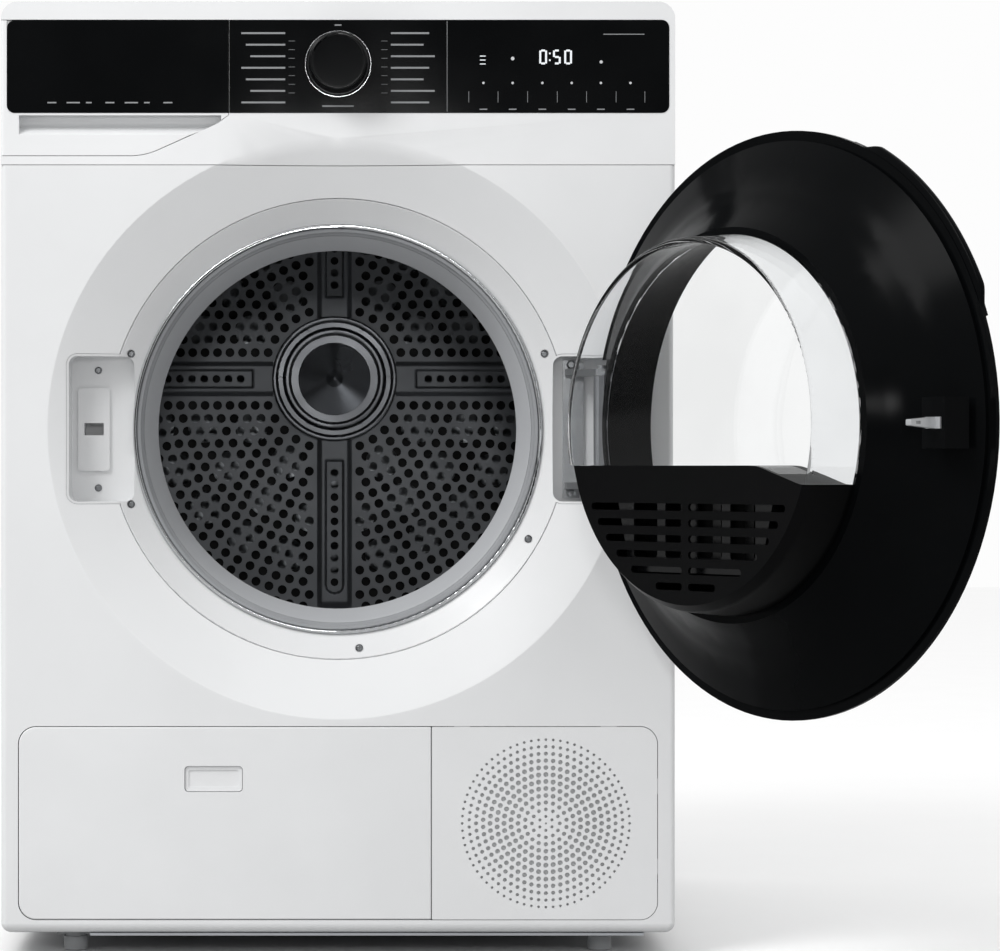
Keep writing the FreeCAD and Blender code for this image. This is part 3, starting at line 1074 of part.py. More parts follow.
def lint_filter():
    """Lint filter that lifts out of its well: a grip bar over a tapered mesh frame."""
    top = OPENING_Z - SHELF_DROP
    front = DOOR_PLANE + LINER_EDGE + 4.5
    rear = DOOR_PLANE + HOOD_REAR - 4
    bar = plate(shelf_corners(0.2, HALF, top - 22), front, rear).common(
        box(-FILTER_HALF, FILTER_HALF, front - 1, rear + 1, 0, HEIGHT))
    grip = plate([(-34, top - 16), (60, top - 16), (48, top - 5, 3), (-22, top - 5, 3)], rear - 7, rear + 1)
    bag = plate([(-98, top - 20), (-80, top - 88, 10), (80, top - 88, 10), (98, top - 20)], front + 5, rear - 5)
    hollow = plate([(-95.5, top - 22), (-78, top - 85.5, 8), (78, top - 85.5, 8), (95.5, top - 22)], front + 7, rear - 7)
    windows = []
    for column in range(4):
        x = -78 + column * 40
        windows.append(plate(rectangle(x + 3, x + 33, top - 76, top - 30, 3), front, rear))
    return merged([bar.cut(grip), bag.cut([hollow] + windows)])


def door_hook():
    """Steel catch hook on the door."""
    z = OPENING_Z
    root = DOOR_PLANE + 43
    tip = DOOR_PLANE + 70
    side = outline([(root, z - 4.6), (tip, z - 2.4, 1), (tip, z + 2.4, 1), (root, z + 4.6)],
                   lambda a, b: V(HOOK_X - 3, FRONT + a, b))
    hook = side.extrude(V(6, 0, 0))
    eye = box(HOOK_X - 4, HOOK_X + 4, tip - 10, tip - 5, z - 1.2, z + 1.2)
    flange = plate(rectangle(HOOK_X - 8, HOOK_X + 8, z - 9, z + 9, 2), root, root + 1.5)
    return merged([hook, flange]).cut(eye)


def hinge_leaf():
    """Door side of the hinge: a knuckle on the pin and a leaf screwed to the liner."""
    low, high = OPENING_Z - 47.5, OPENING_Z + 47.5
    knuckle = post(7, HINGE_X, HINGE_DEPTH, low, high)
    leaf = floor_plan([(HINGE_X - 6, HINGE_DEPTH + 1), (221.5, DOOR_PLANE + 12.8), (203, DOOR_PLANE + 23.2),
                       (203, DOOR_PLANE + 26.2), (221.5, DOOR_PLANE + 16.5), (HINGE_X - 4, HINGE_DEPTH + 6)], low, high)
    return merged([knuckle, leaf]).cut(post(4 + FIT, HINGE_X, HINGE_DEPTH, low - 5, high + 5))


# ---- writing ---------------------------------------------------------------------------------
def pieces():
    """Every piece by the name of its file."""
    made = {
        "base_tray": base_tray(), "left_side_panel": side_panel(-1), "right_side_panel": side_panel(1),
        "rear_panel": rear_panel(), "cable_inlet": cable_inlet(), "worktop": worktop(),
        "front_panel": front_panel(), "opening_bezel": opening_bezel(), "bezel_screws": bezel_screws(),
        "chrome_ring": chrome_ring(), "door_seal": door_seal(), "drum_collar": drum_collar(),
        "front_bulkhead": front_bulkhead(), "felt_seal": felt_seal(), "left_roller": support_roller(0),
        "right_roller": support_roller(1), "drum_shell": drum_shell(), "drum_back": drum_back(),
        "drum_hub": drum_hub(), "drum_shaft": drum_shaft(), "drum_lifters": drum_lifters(),
        "rear_bulkhead": rear_bulkhead(), "rear_bearing": rear_bearing(), "rear_duct": rear_duct(),
        "air_channel": air_channel(), "evaporator": heat_exchanger(CHANNEL_FRONT + 50, CHANNEL_FRONT + 160),
        "condenser": heat_exchanger(CHANNEL_FRONT + 190, CHANNEL_FRONT + 340), "inner_cover": inner_cover(),
        "left_cover_lever": cover_lever(0), "right_cover_lever": cover_lever(1), "compressor": compressor(),
        "motor": motor(), "motor_shaft": motor_shaft(), "fan_wheel": fan_wheel(), "drum_belt": drum_belt(),
        "fascia_frame": fascia_frame(), "control_glass": control_glass(), "control_board": control_board(),
        "program_knob": knob(), "tank_sleeve": tank_sleeve(), "water_tank": water_tank(),
        "drawer_front": drawer_front(), "drawer_insert": drawer_insert(), "service_flap": service_flap(),
        "flap_latch": flap_latch(), "vent_grille": vent_grille(), "door_lock": door_lock(),
        "hinge_bracket": hinge_bracket(),
    }
    for front_rear, y in (("front", -FOOT_Y), ("rear", FOOT_Y)):
        for left_right, x in (("left", -FOOT_X), ("right", FOOT_X)):
            made[front_rear + "_" + left_right + "_foot"] = foot(x, y)
    for name, make in (("door_ring", door_ring), ("door_glass", door_glass), ("door_liner", door_liner),
                       ("door_hood", door_hood), ("filter_housing", filter_housing), ("lint_filter", lint_filter),
                       ("door_hook", door_hook), ("hinge_leaf", hinge_leaf)):
        made[name] = opened(make())
    return made


os.makedirs("parts", exist_ok=True)
for piece_name, piece in pieces().items():
    piece.exportStep("parts/" + piece_name + ".step")
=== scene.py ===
"""Front-loading clothes dryer, door open: the finish of every piece over the CAD model, in metres.

X runs to the viewer's right, Y from the front to the back, Z up from the floor.
The sections follow the machine as it is put together, from the base to the door.
"""
import json
import math

import bmesh
import bpy
import numpy as np
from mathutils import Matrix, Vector
from mathutils.geometry import delaunay_2d_cdt

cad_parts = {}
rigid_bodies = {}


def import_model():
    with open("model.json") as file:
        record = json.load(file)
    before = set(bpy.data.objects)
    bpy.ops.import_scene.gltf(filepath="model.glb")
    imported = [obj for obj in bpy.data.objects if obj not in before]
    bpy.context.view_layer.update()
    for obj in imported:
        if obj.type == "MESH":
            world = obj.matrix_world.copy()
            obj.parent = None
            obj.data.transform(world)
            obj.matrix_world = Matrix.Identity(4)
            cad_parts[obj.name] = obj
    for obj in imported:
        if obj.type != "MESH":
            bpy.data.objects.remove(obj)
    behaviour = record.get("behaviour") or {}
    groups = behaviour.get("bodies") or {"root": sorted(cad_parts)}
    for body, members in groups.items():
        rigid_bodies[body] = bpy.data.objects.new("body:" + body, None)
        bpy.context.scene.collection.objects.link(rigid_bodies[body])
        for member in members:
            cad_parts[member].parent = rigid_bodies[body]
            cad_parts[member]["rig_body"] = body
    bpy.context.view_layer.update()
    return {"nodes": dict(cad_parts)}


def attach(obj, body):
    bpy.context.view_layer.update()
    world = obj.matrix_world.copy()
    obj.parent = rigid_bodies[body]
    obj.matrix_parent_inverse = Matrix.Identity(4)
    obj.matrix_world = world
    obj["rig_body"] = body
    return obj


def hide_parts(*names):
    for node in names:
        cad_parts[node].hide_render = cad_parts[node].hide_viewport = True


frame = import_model()

# ---------------------------------------------------------------------------------------------
# Base tray, air channel and feet. One grey polypropylene moulding carries the compressor, the
# heat exchangers and the four grey screw feet, so every other piece is fixed to it.
# ---------------------------------------------------------------------------------------------
FRONT = -0.300          # the front plane of the cabinet
PATCH_LOW, PATCH_HIGH = 0.35, 0.65      # noise values between which one colour gives way to the other
GRAIN_DEPTH = 0.0002
CAD_WELD = 2e-6


def linear(red, green, blue):
    """Display colour 0..255 to scene-linear: c/12.92 below 0.04045, else ((c + 0.055)/1.055)^2.4."""
    c = np.array((red, green, blue), float) / 255
    c = np.where(c <= 0.04045, c / 12.92, ((c + 0.055) / 1.055) ** 2.4)
    return (*c.tolist(), 1.0)


def grain_group():
    """Two noises on Object coordinates: the wide one mixes two colours and two roughnesses,
    the fine one is relief."""
    tree = bpy.data.node_groups.new("surface_grain", "ShaderNodeTree")
    face = tree.interface
    for label, kind, value in (("Colour", "NodeSocketColor", (0.8, 0.8, 0.8, 1)),
                               ("Second Colour", "NodeSocketColor", (0.7, 0.7, 0.7, 1)),
                               ("Patch Scale", "NodeSocketFloat", 9.0),
                               ("Grain Scale", "NodeSocketFloat", 900.0),
                               ("Low Roughness", "NodeSocketFloat", 0.3),
                               ("High Roughness", "NodeSocketFloat", 0.4),
                               ("Relief", "NodeSocketFloat", 0.05)):
        face.new_socket(label, in_out="INPUT", socket_type=kind).default_value = value
    for label, kind in (("Colour", "NodeSocketColor"), ("Roughness", "NodeSocketFloat"),
                        ("Normal", "NodeSocketVector")):
        face.new_socket(label, in_out="OUTPUT", socket_type=kind)
    new, link = tree.nodes.new, tree.links.new
    start, end = new("NodeGroupInput"), new("NodeGroupOutput")
    place = new("ShaderNodeTexCoord")
    patches, grain = new("ShaderNodeTexNoise"), new("ShaderNodeTexNoise")
    patches.inputs["Detail"].default_value = 3.0
    grain.inputs["Detail"].default_value = 1.0
    for noise, scale in ((patches, "Patch Scale"), (grain, "Grain Scale")):
        link(place.outputs["Object"], noise.inputs["Vector"])
        link(start.outputs[scale], noise.inputs["Scale"])
    share = new("ShaderNodeMapRange")
    share.inputs["From Min"].default_value = PATCH_LOW
    share.inputs["From Max"].default_value = PATCH_HIGH
    link(patches.outputs["Fac"], share.inputs["Value"])
    tint = new("ShaderNodeMix")
    tint.data_type = "RGBA"
    link(share.outputs["Result"], tint.inputs["Factor"])
    link(start.outputs["Colour"], tint.inputs["A"])
    link(start.outputs["Second Colour"], tint.inputs["B"])
    rough = new("ShaderNodeMapRange")
    link(share.outputs["Result"], rough.inputs["Value"])
    link(start.outputs["Low Roughness"], rough.inputs["To Min"])
    link(start.outputs["High Roughness"], rough.inputs["To Max"])
    bump = new("ShaderNodeBump")
    bump.inputs["Distance"].default_value = GRAIN_DEPTH
    link(start.outputs["Relief"], bump.inputs["Strength"])
    link(grain.outputs["Fac"], bump.inputs["Height"])
    link(tint.outputs["Result"], end.inputs["Colour"])
    link(rough.outputs["Result"], end.inputs["Roughness"])
    link(bump.outputs["Normal"], end.inputs["Normal"])
    return tree


GRAIN = grain_group()


def finish(name, colour, second=None, rough=(0.3, 0.4), relief=0.05, patch=9.0, grain=900.0, **constants):
    """A Principled material over the shared grain; constants are Principled inputs by name."""
    material = bpy.data.materials.new(name)
    material.use_nodes = True
    nodes, links = material.node_tree.nodes, material.node_tree.links
    shader = nodes["Principled BSDF"]
    surface = nodes.new("ShaderNodeGroup")
    surface.node_tree = GRAIN
    second = second or tuple(max(0, c - 5) for c in colour)
    for label, value in (("Colour", linear(*colour)), ("Second Colour", linear(*second)),
                         ("Patch Scale", patch), ("Grain Scale", grain), ("Low Roughness", rough[0]),
                         ("High Roughness", rough[1]), ("Relief", relief)):
        surface.inputs[label].default_value = value
    links.new(surface.outputs["Colour"], shader.inputs["Base Color"])
    links.new(surface.outputs["Roughness"], shader.inputs["Roughness"])
    links.new(surface.outputs["Normal"], shader.inputs["Normal"])
    for label, value in constants.items():
        shader.inputs[label.replace("_", " ")].default_value = value
    return material


def dress(material, *names, sharp=28.0, slot=None):
    """Welded, smooth-shaded twins of CAD nodes: vertices are joined, and an edge is sharp where
    its faces turn by more than `sharp` degrees."""
    for name in names:
        node = frame["nodes"][name]
        shape = bmesh.new()
        shape.from_mesh(node.data)
        bmesh.ops.remove_doubles(shape, verts=shape.verts, dist=CAD_WELD)
        for face in shape.faces:
            face.smooth = True
        for edge in shape.edges:
            edge.smooth = len(edge.link_faces) == 2 and edge.calc_face_angle(0.0) < math.radians(sharp)
        mesh = bpy.data.meshes.new(name + "_finish")
        shape.to_mesh(mesh)
        shape.free()
        mesh.materials.append(material)
        piece = bpy.data.objects.new(name + "_finish", mesh)
        bpy.context.scene.collection.objects.link(piece)
        even = piece.modifiers.new("even_shading", "WEIGHTED_NORMAL")
        even.keep_sharp = True
        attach(piece, node["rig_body"])
        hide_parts(name)


base_grey = finish("base_grey", (168, 171, 175), rough=(0.5, 0.62), relief=0.25)
foot_grey = finish("foot_grey", (188, 190, 192), (180, 182, 184), rough=(0.45, 0.6), relief=0.15)
socket_black = finish("socket_black", (30, 31, 33), (40, 41, 43), rough=(0.45, 0.6), relief=0.2)
dress(base_grey, "base_tray", "air_channel")
dress(foot_grey, "front_left_foot", "front_right_foot", "rear_left_foot", "rear_right_foot",
      slot="base_plastic")
dress(socket_black, "cable_inlet")

# ---------------------------------------------------------------------------------------------
# Refrigeration pack, motor and covers. Bought-in units on the tray: finned aluminium exchangers,
# a black painted compressor can, a dip-painted motor, and clear grey moulded covers with levers.
# ---------------------------------------------------------------------------------------------
fins = finish("fin_aluminium", (190, 193, 196), (168, 171, 175), rough=(0.3, 0.45), Metallic=0.9)
fins_nodes, fins_links = fins.node_tree.nodes, fins.node_tree.links
fins_wave = fins_nodes.new("ShaderNodeTexWave")
fins_place = fins_nodes.new("ShaderNodeTexCoord")
fins_bump = fins_nodes.new("ShaderNodeBump")
fins_wave.inputs["Scale"].default_value = 170.0
fins_bump.inputs["Strength"].default_value = 0.6
fins_bump.inputs["Distance"].default_value = 0.001
fins_links.new(fins_place.outputs["Object"], fins_wave.inputs["Vector"])
fins_links.new(fins_wave.outputs["Fac"], fins_bump.inputs["Height"])
fins_links.new(fins_bump.outputs["Normal"], fins_nodes["Principled BSDF"].inputs["Normal"])
can_black = finish("can_black", (24, 25, 27), (34, 35, 37), rough=(0.3, 0.45), relief=0.1)
motor_paint = finish("motor_paint", (120, 124, 128), (104, 108, 112), rough=(0.35, 0.5), Metallic=0.6)
moulded_grey = finish("moulded_grey", (196, 199, 202), rough=(0.38, 0.48), relief=0.08)
lever_blue = finish("lever_blue", (66, 88, 118), (58, 80, 110), rough=(0.35, 0.45))
fan_black = finish("fan_black", (34, 35, 37), rough=(0.45, 0.55), relief=0.1)
bright_steel = finish("bright_steel", (176, 178, 180), (150, 152, 155), rough=(0.22, 0.36), Metallic=1.0)
dress(fins, "evaporator", "condenser")
dress(can_black, "compressor")
dress(motor_paint, "motor")
dress(moulded_grey, "inner_cover")
dress(lever_blue, "left_cover_lever", "right_cover_lever")
dress(fan_black, "fan_wheel")
dress(bright_steel, "motor_shaft")

# ---------------------------------------------------------------------------------------------
# Bulkheads, rear duct and rear panel. Pressed from zinc-coated sheet; the coating shows as pale
# crystals. The bulkhead behind the drum is coloured nearly black as painted shade, so that the drum's holes
# look black.
# ---------------------------------------------------------------------------------------------
zinc = finish("zinc_sheet", (172, 176, 180), (146, 150, 155), rough=(0.35, 0.5), patch=60.0, Metallic=0.85)
# painted shade: the zinc bulkhead behind the drum is coloured nearly black to stand for the shade seen
# through the drum's holes
bulkhead_painted_shade = finish("bulkhead_painted_shade", (9, 9, 10), (6, 6, 7), rough=(0.55, 0.7), patch=40.0, Metallic=0.3)
dress(zinc, "rear_panel", "front_bulkhead", "rear_duct")
# the rear bulkhead gets the nearly black painted shade, not the zinc finish
dress(bulkhead_painted_shade, "rear_bulkhead")
dress(bright_steel, "rear_bearing")

# ---------------------------------------------------------------------------------------------
# Drum shell, lifters and running gear. A rolled stainless tube with a pressed neck, three grey
# lifters clipped inside, and a ribbed belt round it driven from the motor.
# ---------------------------------------------------------------------------------------------
stainless = finish("stainless", (178, 180, 182), (160, 162, 165), rough=(0.2, 0.3), Metallic=1.0)
lifter_grey = finish("lifter_grey", (120, 122, 125), rough=(0.35, 0.45), relief=0.06)
rubber_black = finish("rubber_black", (22, 22, 23), (32, 32, 33), rough=(0.6, 0.75), relief=0.2)
felt_grey = finish("felt_grey", (122, 120, 116), (92, 90, 88), rough=(0.9, 1.0), relief=0.9, patch=400.0)
dress(stainless, "drum_shell", "drum_shaft")
dress(lifter_grey, "drum_lifters")
dress(rubber_black, "drum_belt", "left_roller", "right_roller")
dress(felt_grey, "felt_seal")

# ---------------------------------------------------------------------------------------------
# Drum back. A stainless disc punched with rings of round holes in four quadrants, and stiffened
# by a pressed cross: each arm is a raised band with a sunk, punched channel along its middle.
# ---------------------------------------------------------------------------------------------
DRUM_Z = 0.528
BACK_FRONT = FRONT + 0.5230     # front face of the disc
BACK_REAR = FRONT + 0.5242
DISC_R = 0.2855
DISC_BORE = 0.0150
RING_FIRST, RING_STEP, RING_COUNT = 0.0746, 0.01268, 16
HOLE_R, CHANNEL_HOLE_R = 0.0048, 0.0042
HOLE_SIDES = 12
HOLE_SPACING = 0.0143
HOLE_TURN = 0.13                # radians that a hole's corners are turned by
ARM_GAP = 0.0276                # from one arm's middle to the nearest holes, and from the next arm's
NEXT_ARM_GAP = (0.02635, 0.0328)
ARM_HALF = 0.0183
CHANNEL_HALF = 0.0081
CHANNEL_FROM, CHANNEL_TO = 0.0860, 0.2230
ARM_FROM, ARM_TO = 0.0640, 0.2400
ARM_HEIGHT = 0.0068
EDGE_RAMP, END_RAMP, CHANNEL_RAMP = 0.0052, 0.0080, 0.0016
FRONT_SKIN_GAP, REAR_SKIN_GAP = 0.00005, 0.00002        # in front of the disc
CHANNEL_HOLES = [0.0980 + 0.0127 * i for i in range(10)]
ACROSS, ALONG = 46, 180
PIECE_WELD = 1e-6


def hole_centres():
    """Ring k has radius RING_FIRST + k RING_STEP. In each quadrant its holes run at even spacing from
    ARM_GAP beside one arm to the first NEXT_ARM_GAP (even k) or the second (odd k) beside the other."""
    found = []
    for k in range(RING_COUNT):
        r = RING_FIRST + RING_STEP * k
        first, last = math.asin(ARM_GAP / r), math.acos(NEXT_ARM_GAP[k % 2] / r)
        steps = max(1, round((last - first) * r / HOLE_SPACING))
        turn = np.linspace(first, last, steps + 1)
        for side in (-1, 1):
            for rise in (-1, 1):
                found += list(zip(side * r * np.cos(turn), rise * r * np.sin(turn)))
    return np.array(found)


def circle(x, z, r, sides, turn=0.0):
    """(x + r cos a, z + r sin a) for `sides` equal steps of a."""
    a = np.arange(sides) * 2 * math.pi / sides + turn
    return np.stack([x + r * np.cos(a), z + r * np.sin(a)], 1)


def punched_sheet(loops, front, rear):
    """A flat sheet between two Y planes. The first loop is its edge, the rest are holes: both faces
    are one triangulation of the plane (constrained by the loops) and every loop is a strip of walls."""
    points = np.vstack(loops)
    edges, begin = [], 0
    for loop in loops:
        n = len(loop)
        edges += [(begin + i, begin + (i + 1) % n) for i in range(n)]
        begin += n
    out = delaunay_2d_cdt([Vector(p) for p in points.tolist()], edges, [], 2, 1e-7)
    flat = np.array([tuple(p) for p in out[0]])
    tris = np.array([f for f in out[2]])
    centre = flat[tris].mean(1)
    inside = np.zeros(len(tris), bool)
    for loop in loops[1:]:
        middle, radius = loop.mean(0), np.abs(loop - loop.mean(0)).max()
        inside |= np.hypot(*(centre - middle).T) < radius * 0.999
    tris = tris[~inside]
    count = len(flat)
    verts = np.vstack([np.insert(flat, 1, front, axis=1), np.insert(flat, 1, rear, axis=1)])
    faces = [tuple(t) for t in tris.tolist()]
    faces += [(c + count, b + count, a + count) for a, b, c in tris.tolist()]
    joined = {}
    for a, b, c in tris.tolist():
        for pair in ((a, b), (b, c), (c, a)):
            joined[pair] = True
    faces += [(b, a, a + count, b + count) for a, b in joined if (b, a) not in joined]
    return verts, faces


def add_piece(name, verts, faces, material, body, smooth=True, sharp=30.0):
    """A mesh piece from arrays, faces turned outward, that rides on a CAD body."""
    mesh = bpy.data.meshes.new(name)
    mesh.from_pydata([tuple(v) for v in np.asarray(verts, float).tolist()], [], [tuple(f) for f in faces])
    shape = bmesh.new()
    shape.from_mesh(mesh)
    bmesh.ops.remove_doubles(shape, verts=shape.verts, dist=PIECE_WELD)
    bmesh.ops.recalc_face_normals(shape, faces=shape.faces)
    for face in shape.faces:
        face.smooth = smooth
    for edge in shape.edges:
        edge.smooth = len(edge.link_faces) == 2 and edge.calc_face_angle(0.0) < math.radians(sharp)
    shape.to_mesh(mesh)
    shape.free()
    mesh.materials.append(material)
    piece = bpy.data.objects.new(name, mesh)
    bpy.context.scene.collection.objects.link(piece)
    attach(piece, body)
    return piece


def ramp(share):
    """v = share clamped to 0..1, then 3v^2 - 2v^3."""
    v = np.clip(share, 0, 1)
    return v ** 2 * (3 - 2 * v)


def arm_surface():
    """Height over (t, s): ARM_HEIGHT * edge(t) * end(s) * (1 - channel(t, s)), each factor a ramp."""
    s, t = np.meshgrid(np.linspace(ARM_FROM, ARM_TO, ALONG), np.linspace(-ARM_HALF, ARM_HALF, ACROSS),
                       indexing="ij")
    edge = ramp((ARM_HALF - np.abs(t)) / EDGE_RAMP)
    end = ramp((ARM_TO - s) / END_RAMP)
    reach = np.hypot(t, np.maximum(s - (CHANNEL_TO - CHANNEL_HALF), 0))
    sunk = ramp((CHANNEL_HALF + CHANNEL_RAMP - reach) / CHANNEL_RAMP)
    sunk = sunk * ramp((s - CHANNEL_FROM + CHANNEL_RAMP) / CHANNEL_RAMP)
    return t, s, ARM_HEIGHT * edge * end * (1 - sunk), sunk


def arm(quarter):
    """One arm of the cross, a number of quarter turns round: a raised skin over a flat one, both
    left out along the bottom of the channel."""
    t, s, height, sunk = arm_surface()
    c, d = round(math.cos(quarter * math.pi / 2)), round(math.sin(quarter * math.pi / 2))
    x, z = s * c - t * d, DRUM_Z + (s * d + t * c)
    raised = np.stack([x, BACK_FRONT - FRONT_SKIN_GAP - height, z], 2).reshape(-1, 3)
    flat = np.stack([x, np.full_like(x, BACK_FRONT - REAR_SKIN_GAP), z], 2).reshape(-1, 3)
    bottom = sunk > 0.999
    skip = bottom[:-1, :-1] & bottom[1:, :-1] & bottom[:-1, 1:] & bottom[1:, 1:]
    half = len(raised)
    faces, joined = [], {}
    for i in range(ALONG - 1):
        for j in range(ACROSS - 1):
            if skip[i, j]:
                continue
            a, b = i * ACROSS + j, (i + 1) * ACROSS + j
            ring = (a, b, b + 1, a + 1)
            faces += [ring, tuple(half + v for v in ring[::-1])]
            for pair in zip(ring, ring[1:] + ring[:1]):
                joined[pair] = True
    faces += [(b, a, a + half, b + half) for a, b in joined if (b, a) not in joined]
    return raised.tolist() + flat.tolist(), faces


back_steel = finish("drum_back_steel", (122, 125, 129), (118, 121, 125), rough=(0.38, 0.46), relief=0.02,
                    patch=12.0, Metallic=0.35)
loops = [circle(0, DRUM_Z, DISC_R, 160), circle(0, DRUM_Z, DISC_BORE, 40)]
loops += [circle(x, DRUM_Z + z, HOLE_R, HOLE_SIDES, HOLE_TURN) for x, z in hole_centres()]
loops += [circle(r * c, DRUM_Z + r * d, CHANNEL_HOLE_R, HOLE_SIDES) for r in CHANNEL_HOLES
          for c, d in ((1, 0), (-1, 0), (0, 1), (0, -1))]
sheet_verts, sheet_faces = punched_sheet(loops, BACK_FRONT, BACK_REAR)
disc = add_piece("drum_back_disc", sheet_verts, sheet_faces, back_steel, "drum",
                 smooth=False)
arm_verts, arm_faces = [], []
for quarter in range(4):
    verts, faces = arm(quarter)
    arm_faces += [tuple(len(arm_verts) + v for v in face) for face in faces]
    arm_verts += verts
arms = add_piece("drum_back_arms", arm_verts, arm_faces, back_steel, "drum", sharp=50.0)
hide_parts("drum_back")
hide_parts("drum_back")

# ---------------------------------------------------------------------------------------------
# Drum hub. A polished cast cap over the rear bearing: a domed centre, a trough with six screw
# holes and a bright turned rim, bolted through the disc to the shaft flange.
# ---------------------------------------------------------------------------------------------
hub_polish = finish("hub_polish", (112, 114, 117), (104, 106, 109), rough=(0.27, 0.33), relief=0.0,
                    patch=14.0, Metallic=0.9)
dress(hub_polish, "drum_hub", sharp=40.0)

# ---------------------------------------------------------------------------------------------
# Side panels, front panel and worktop. Folded steel, powder coated white with a fine peel; the
# front has a spun dish round the opening. The worktop is a white laminate board with a trim.
# ---------------------------------------------------------------------------------------------
enamel = finish("white_enamel", (233, 234, 235), (230, 231, 232), rough=(0.32, 0.4), relief=0.05, grain=500.0,
                Coat_Weight=0.15, Coat_Roughness=0.15)
laminate = finish("white_laminate", (244, 244, 244), (241, 241, 241), rough=(0.35, 0.45), relief=0.05)
dress(enamel, "left_side_panel", "right_side_panel", "front_panel")
dress(laminate, "worktop")

# ---------------------------------------------------------------------------------------------
# Bezel, lock and hinge. The opening is lined by a satin white moulding with seven screws, a lock
# with a slot for the door hook, and a zinc-plated hinge bracket in the right-hand pocket.
# ---------------------------------------------------------------------------------------------
bezel_satin = finish("bezel_satin", (226, 227, 228), (222, 223, 224), rough=(0.3, 0.38), relief=0.05)
screw_bright = finish("screw_bright", (150, 152, 154), (122, 124, 126), rough=(0.25, 0.4), Metallic=1.0)
plate_grey = finish("plate_grey", (168, 170, 172), (150, 152, 154), rough=(0.28, 0.4), Metallic=0.8)
lock_white = finish("lock_white", (222, 223, 224), rough=(0.35, 0.45))
dress(bezel_satin, "opening_bezel")
dress(screw_bright, "bezel_screws")
dress(plate_grey, "hinge_bracket")
dress(lock_white, "door_lock")

# ---------------------------------------------------------------------------------------------
# Chrome ring, seal and collar. A bright trim ring holds a grey rubber lip that the door presses
# on; behind it a tapering grey moulding guides the laundry into the drum.
# ---------------------------------------------------------------------------------------------
chrome = finish("chrome_trim", (214, 216, 218), (202, 204, 206), rough=(0.08, 0.14), Metallic=1.0)
seal_grey = finish("seal_grey", (150, 152, 155), (140, 142, 145), rough=(0.5, 0.62), relief=0.15)
collar_grey = finish("collar_grey", (196, 198, 201), (190, 192, 195), rough=(0.4, 0.5), relief=0.06)
dress(chrome, "chrome_ring")
dress(seal_grey, "door_seal")
dress(collar_grey, "drum_collar")

# ---------------------------------------------------------------------------------------------
# Control panel. A white moulded frame carries the black acrylic front, the circuit board behind
# it, and the printed marks: a rule, label rows beside the knob, a time display and key symbols.
# ---------------------------------------------------------------------------------------------
PRINT_FRONT, PRINT_REAR = FRONT - 0.00050, FRONT - 0.00041
KNOB_Z = 0.7939
LABEL_COUNT, LABEL_TOP, LABEL_STEP, LABEL_HALF = 7, 0.8218, 0.01027, 0.0008
LABEL_FROM, LABEL_TO = 0.0470, 0.0860           # the ends of a row, out from the knob's axis
LEFT_SHORTER, RIGHT_SHORTER = 0.004, 0.005      # what a row loses at a time, so that the rows differ
TICK_FROM, TICK_TO, TICK_HALF, TICK_DRAW = 0.0385, 0.0440, 0.00015, 0.25
RULE_HALF = 0.0002
KEY_RULES = (0.1163, 0.1423, 0.1686, 0.1950, 0.2210, 0.2473, 0.2729)
KEYS = (0.1293, 0.1553, 0.1817, 0.2078, 0.2338, 0.2601)
KEY_DOT_Z, KEY_DOT_R, KEY_LINE_HALF = 0.7775, 0.0011, 0.0034
DIGIT_LOW, DIGIT_HIGH = 0.7940, 0.0132          # foot of the digits, and their height


def bars(rows):
    """Thin closed boxes (x0, x1, z0, z1) between the two print planes: eight corners and six faces."""
    verts, faces = [], []
    for x0, x1, z0, z1 in rows:
        n = len(verts)
        corners = ((x0, z0), (x1, z0), (x1, z1), (x0, z1))
        verts += [(x, y, z) for y in (PRINT_FRONT, PRINT_REAR) for x, z in corners]
        faces += [(n, n + 1, n + 2, n + 3), (n + 7, n + 6, n + 5, n + 4), (n, n + 4, n + 5, n + 1),
                  (n + 1, n + 5, n + 6, n + 2), (n + 2, n + 6, n + 7, n + 3), (n + 3, n + 7, n + 4, n)]
    return verts, faces


def dots(rows, sides=16):
    """Thin closed discs (x, z, r) between the two print planes."""
    verts, faces = [], []
    for x, z, r in rows:
        n = len(verts)
        ring = circle(x, z, r, sides)
        verts += [(a, y, b) for y in (PRINT_FRONT, PRINT_REAR) for a, b in ring.tolist()]
        faces += [tuple(n + i for i in range(sides)), tuple(n + sides + i for i in reversed(range(sides)))]
        faces += [(n + i, n + sides + i, n + sides + (i + 1) % sides, n + (i + 1) % sides)
                  for i in range(sides)]
    return verts, faces


def segments(x, z, high, digit):
    """Seven-segment digit with its lower left corner at (x, z), as bars."""
    w, t = high * 0.52, high * 0.13
    lit = {"0": "abcdef", "5": "afgcd"}[digit]
    place = {"a": (t, w - t, high - t, high), "d": (t, w - t, 0, t),
             "g": (t, w - t, high / 2 - t / 2, high / 2 + t / 2),
             "f": (0, t, high / 2, high - t / 2), "e": (0, t, t / 2, high / 2),
             "b": (w - t, w, high / 2, high - t / 2), "c": (w - t, w, t / 2, high / 2)}
    return [(x + place[k][0], x + place[k][1], z + place[k][2], z + place[k][3]) for k in lit]


def print_on(name, shape, material, body="cabinet"):
    """A printed piece from bars or dots."""
    verts, faces = shape
    add_piece(name, verts, faces, material, body, smooth=False)


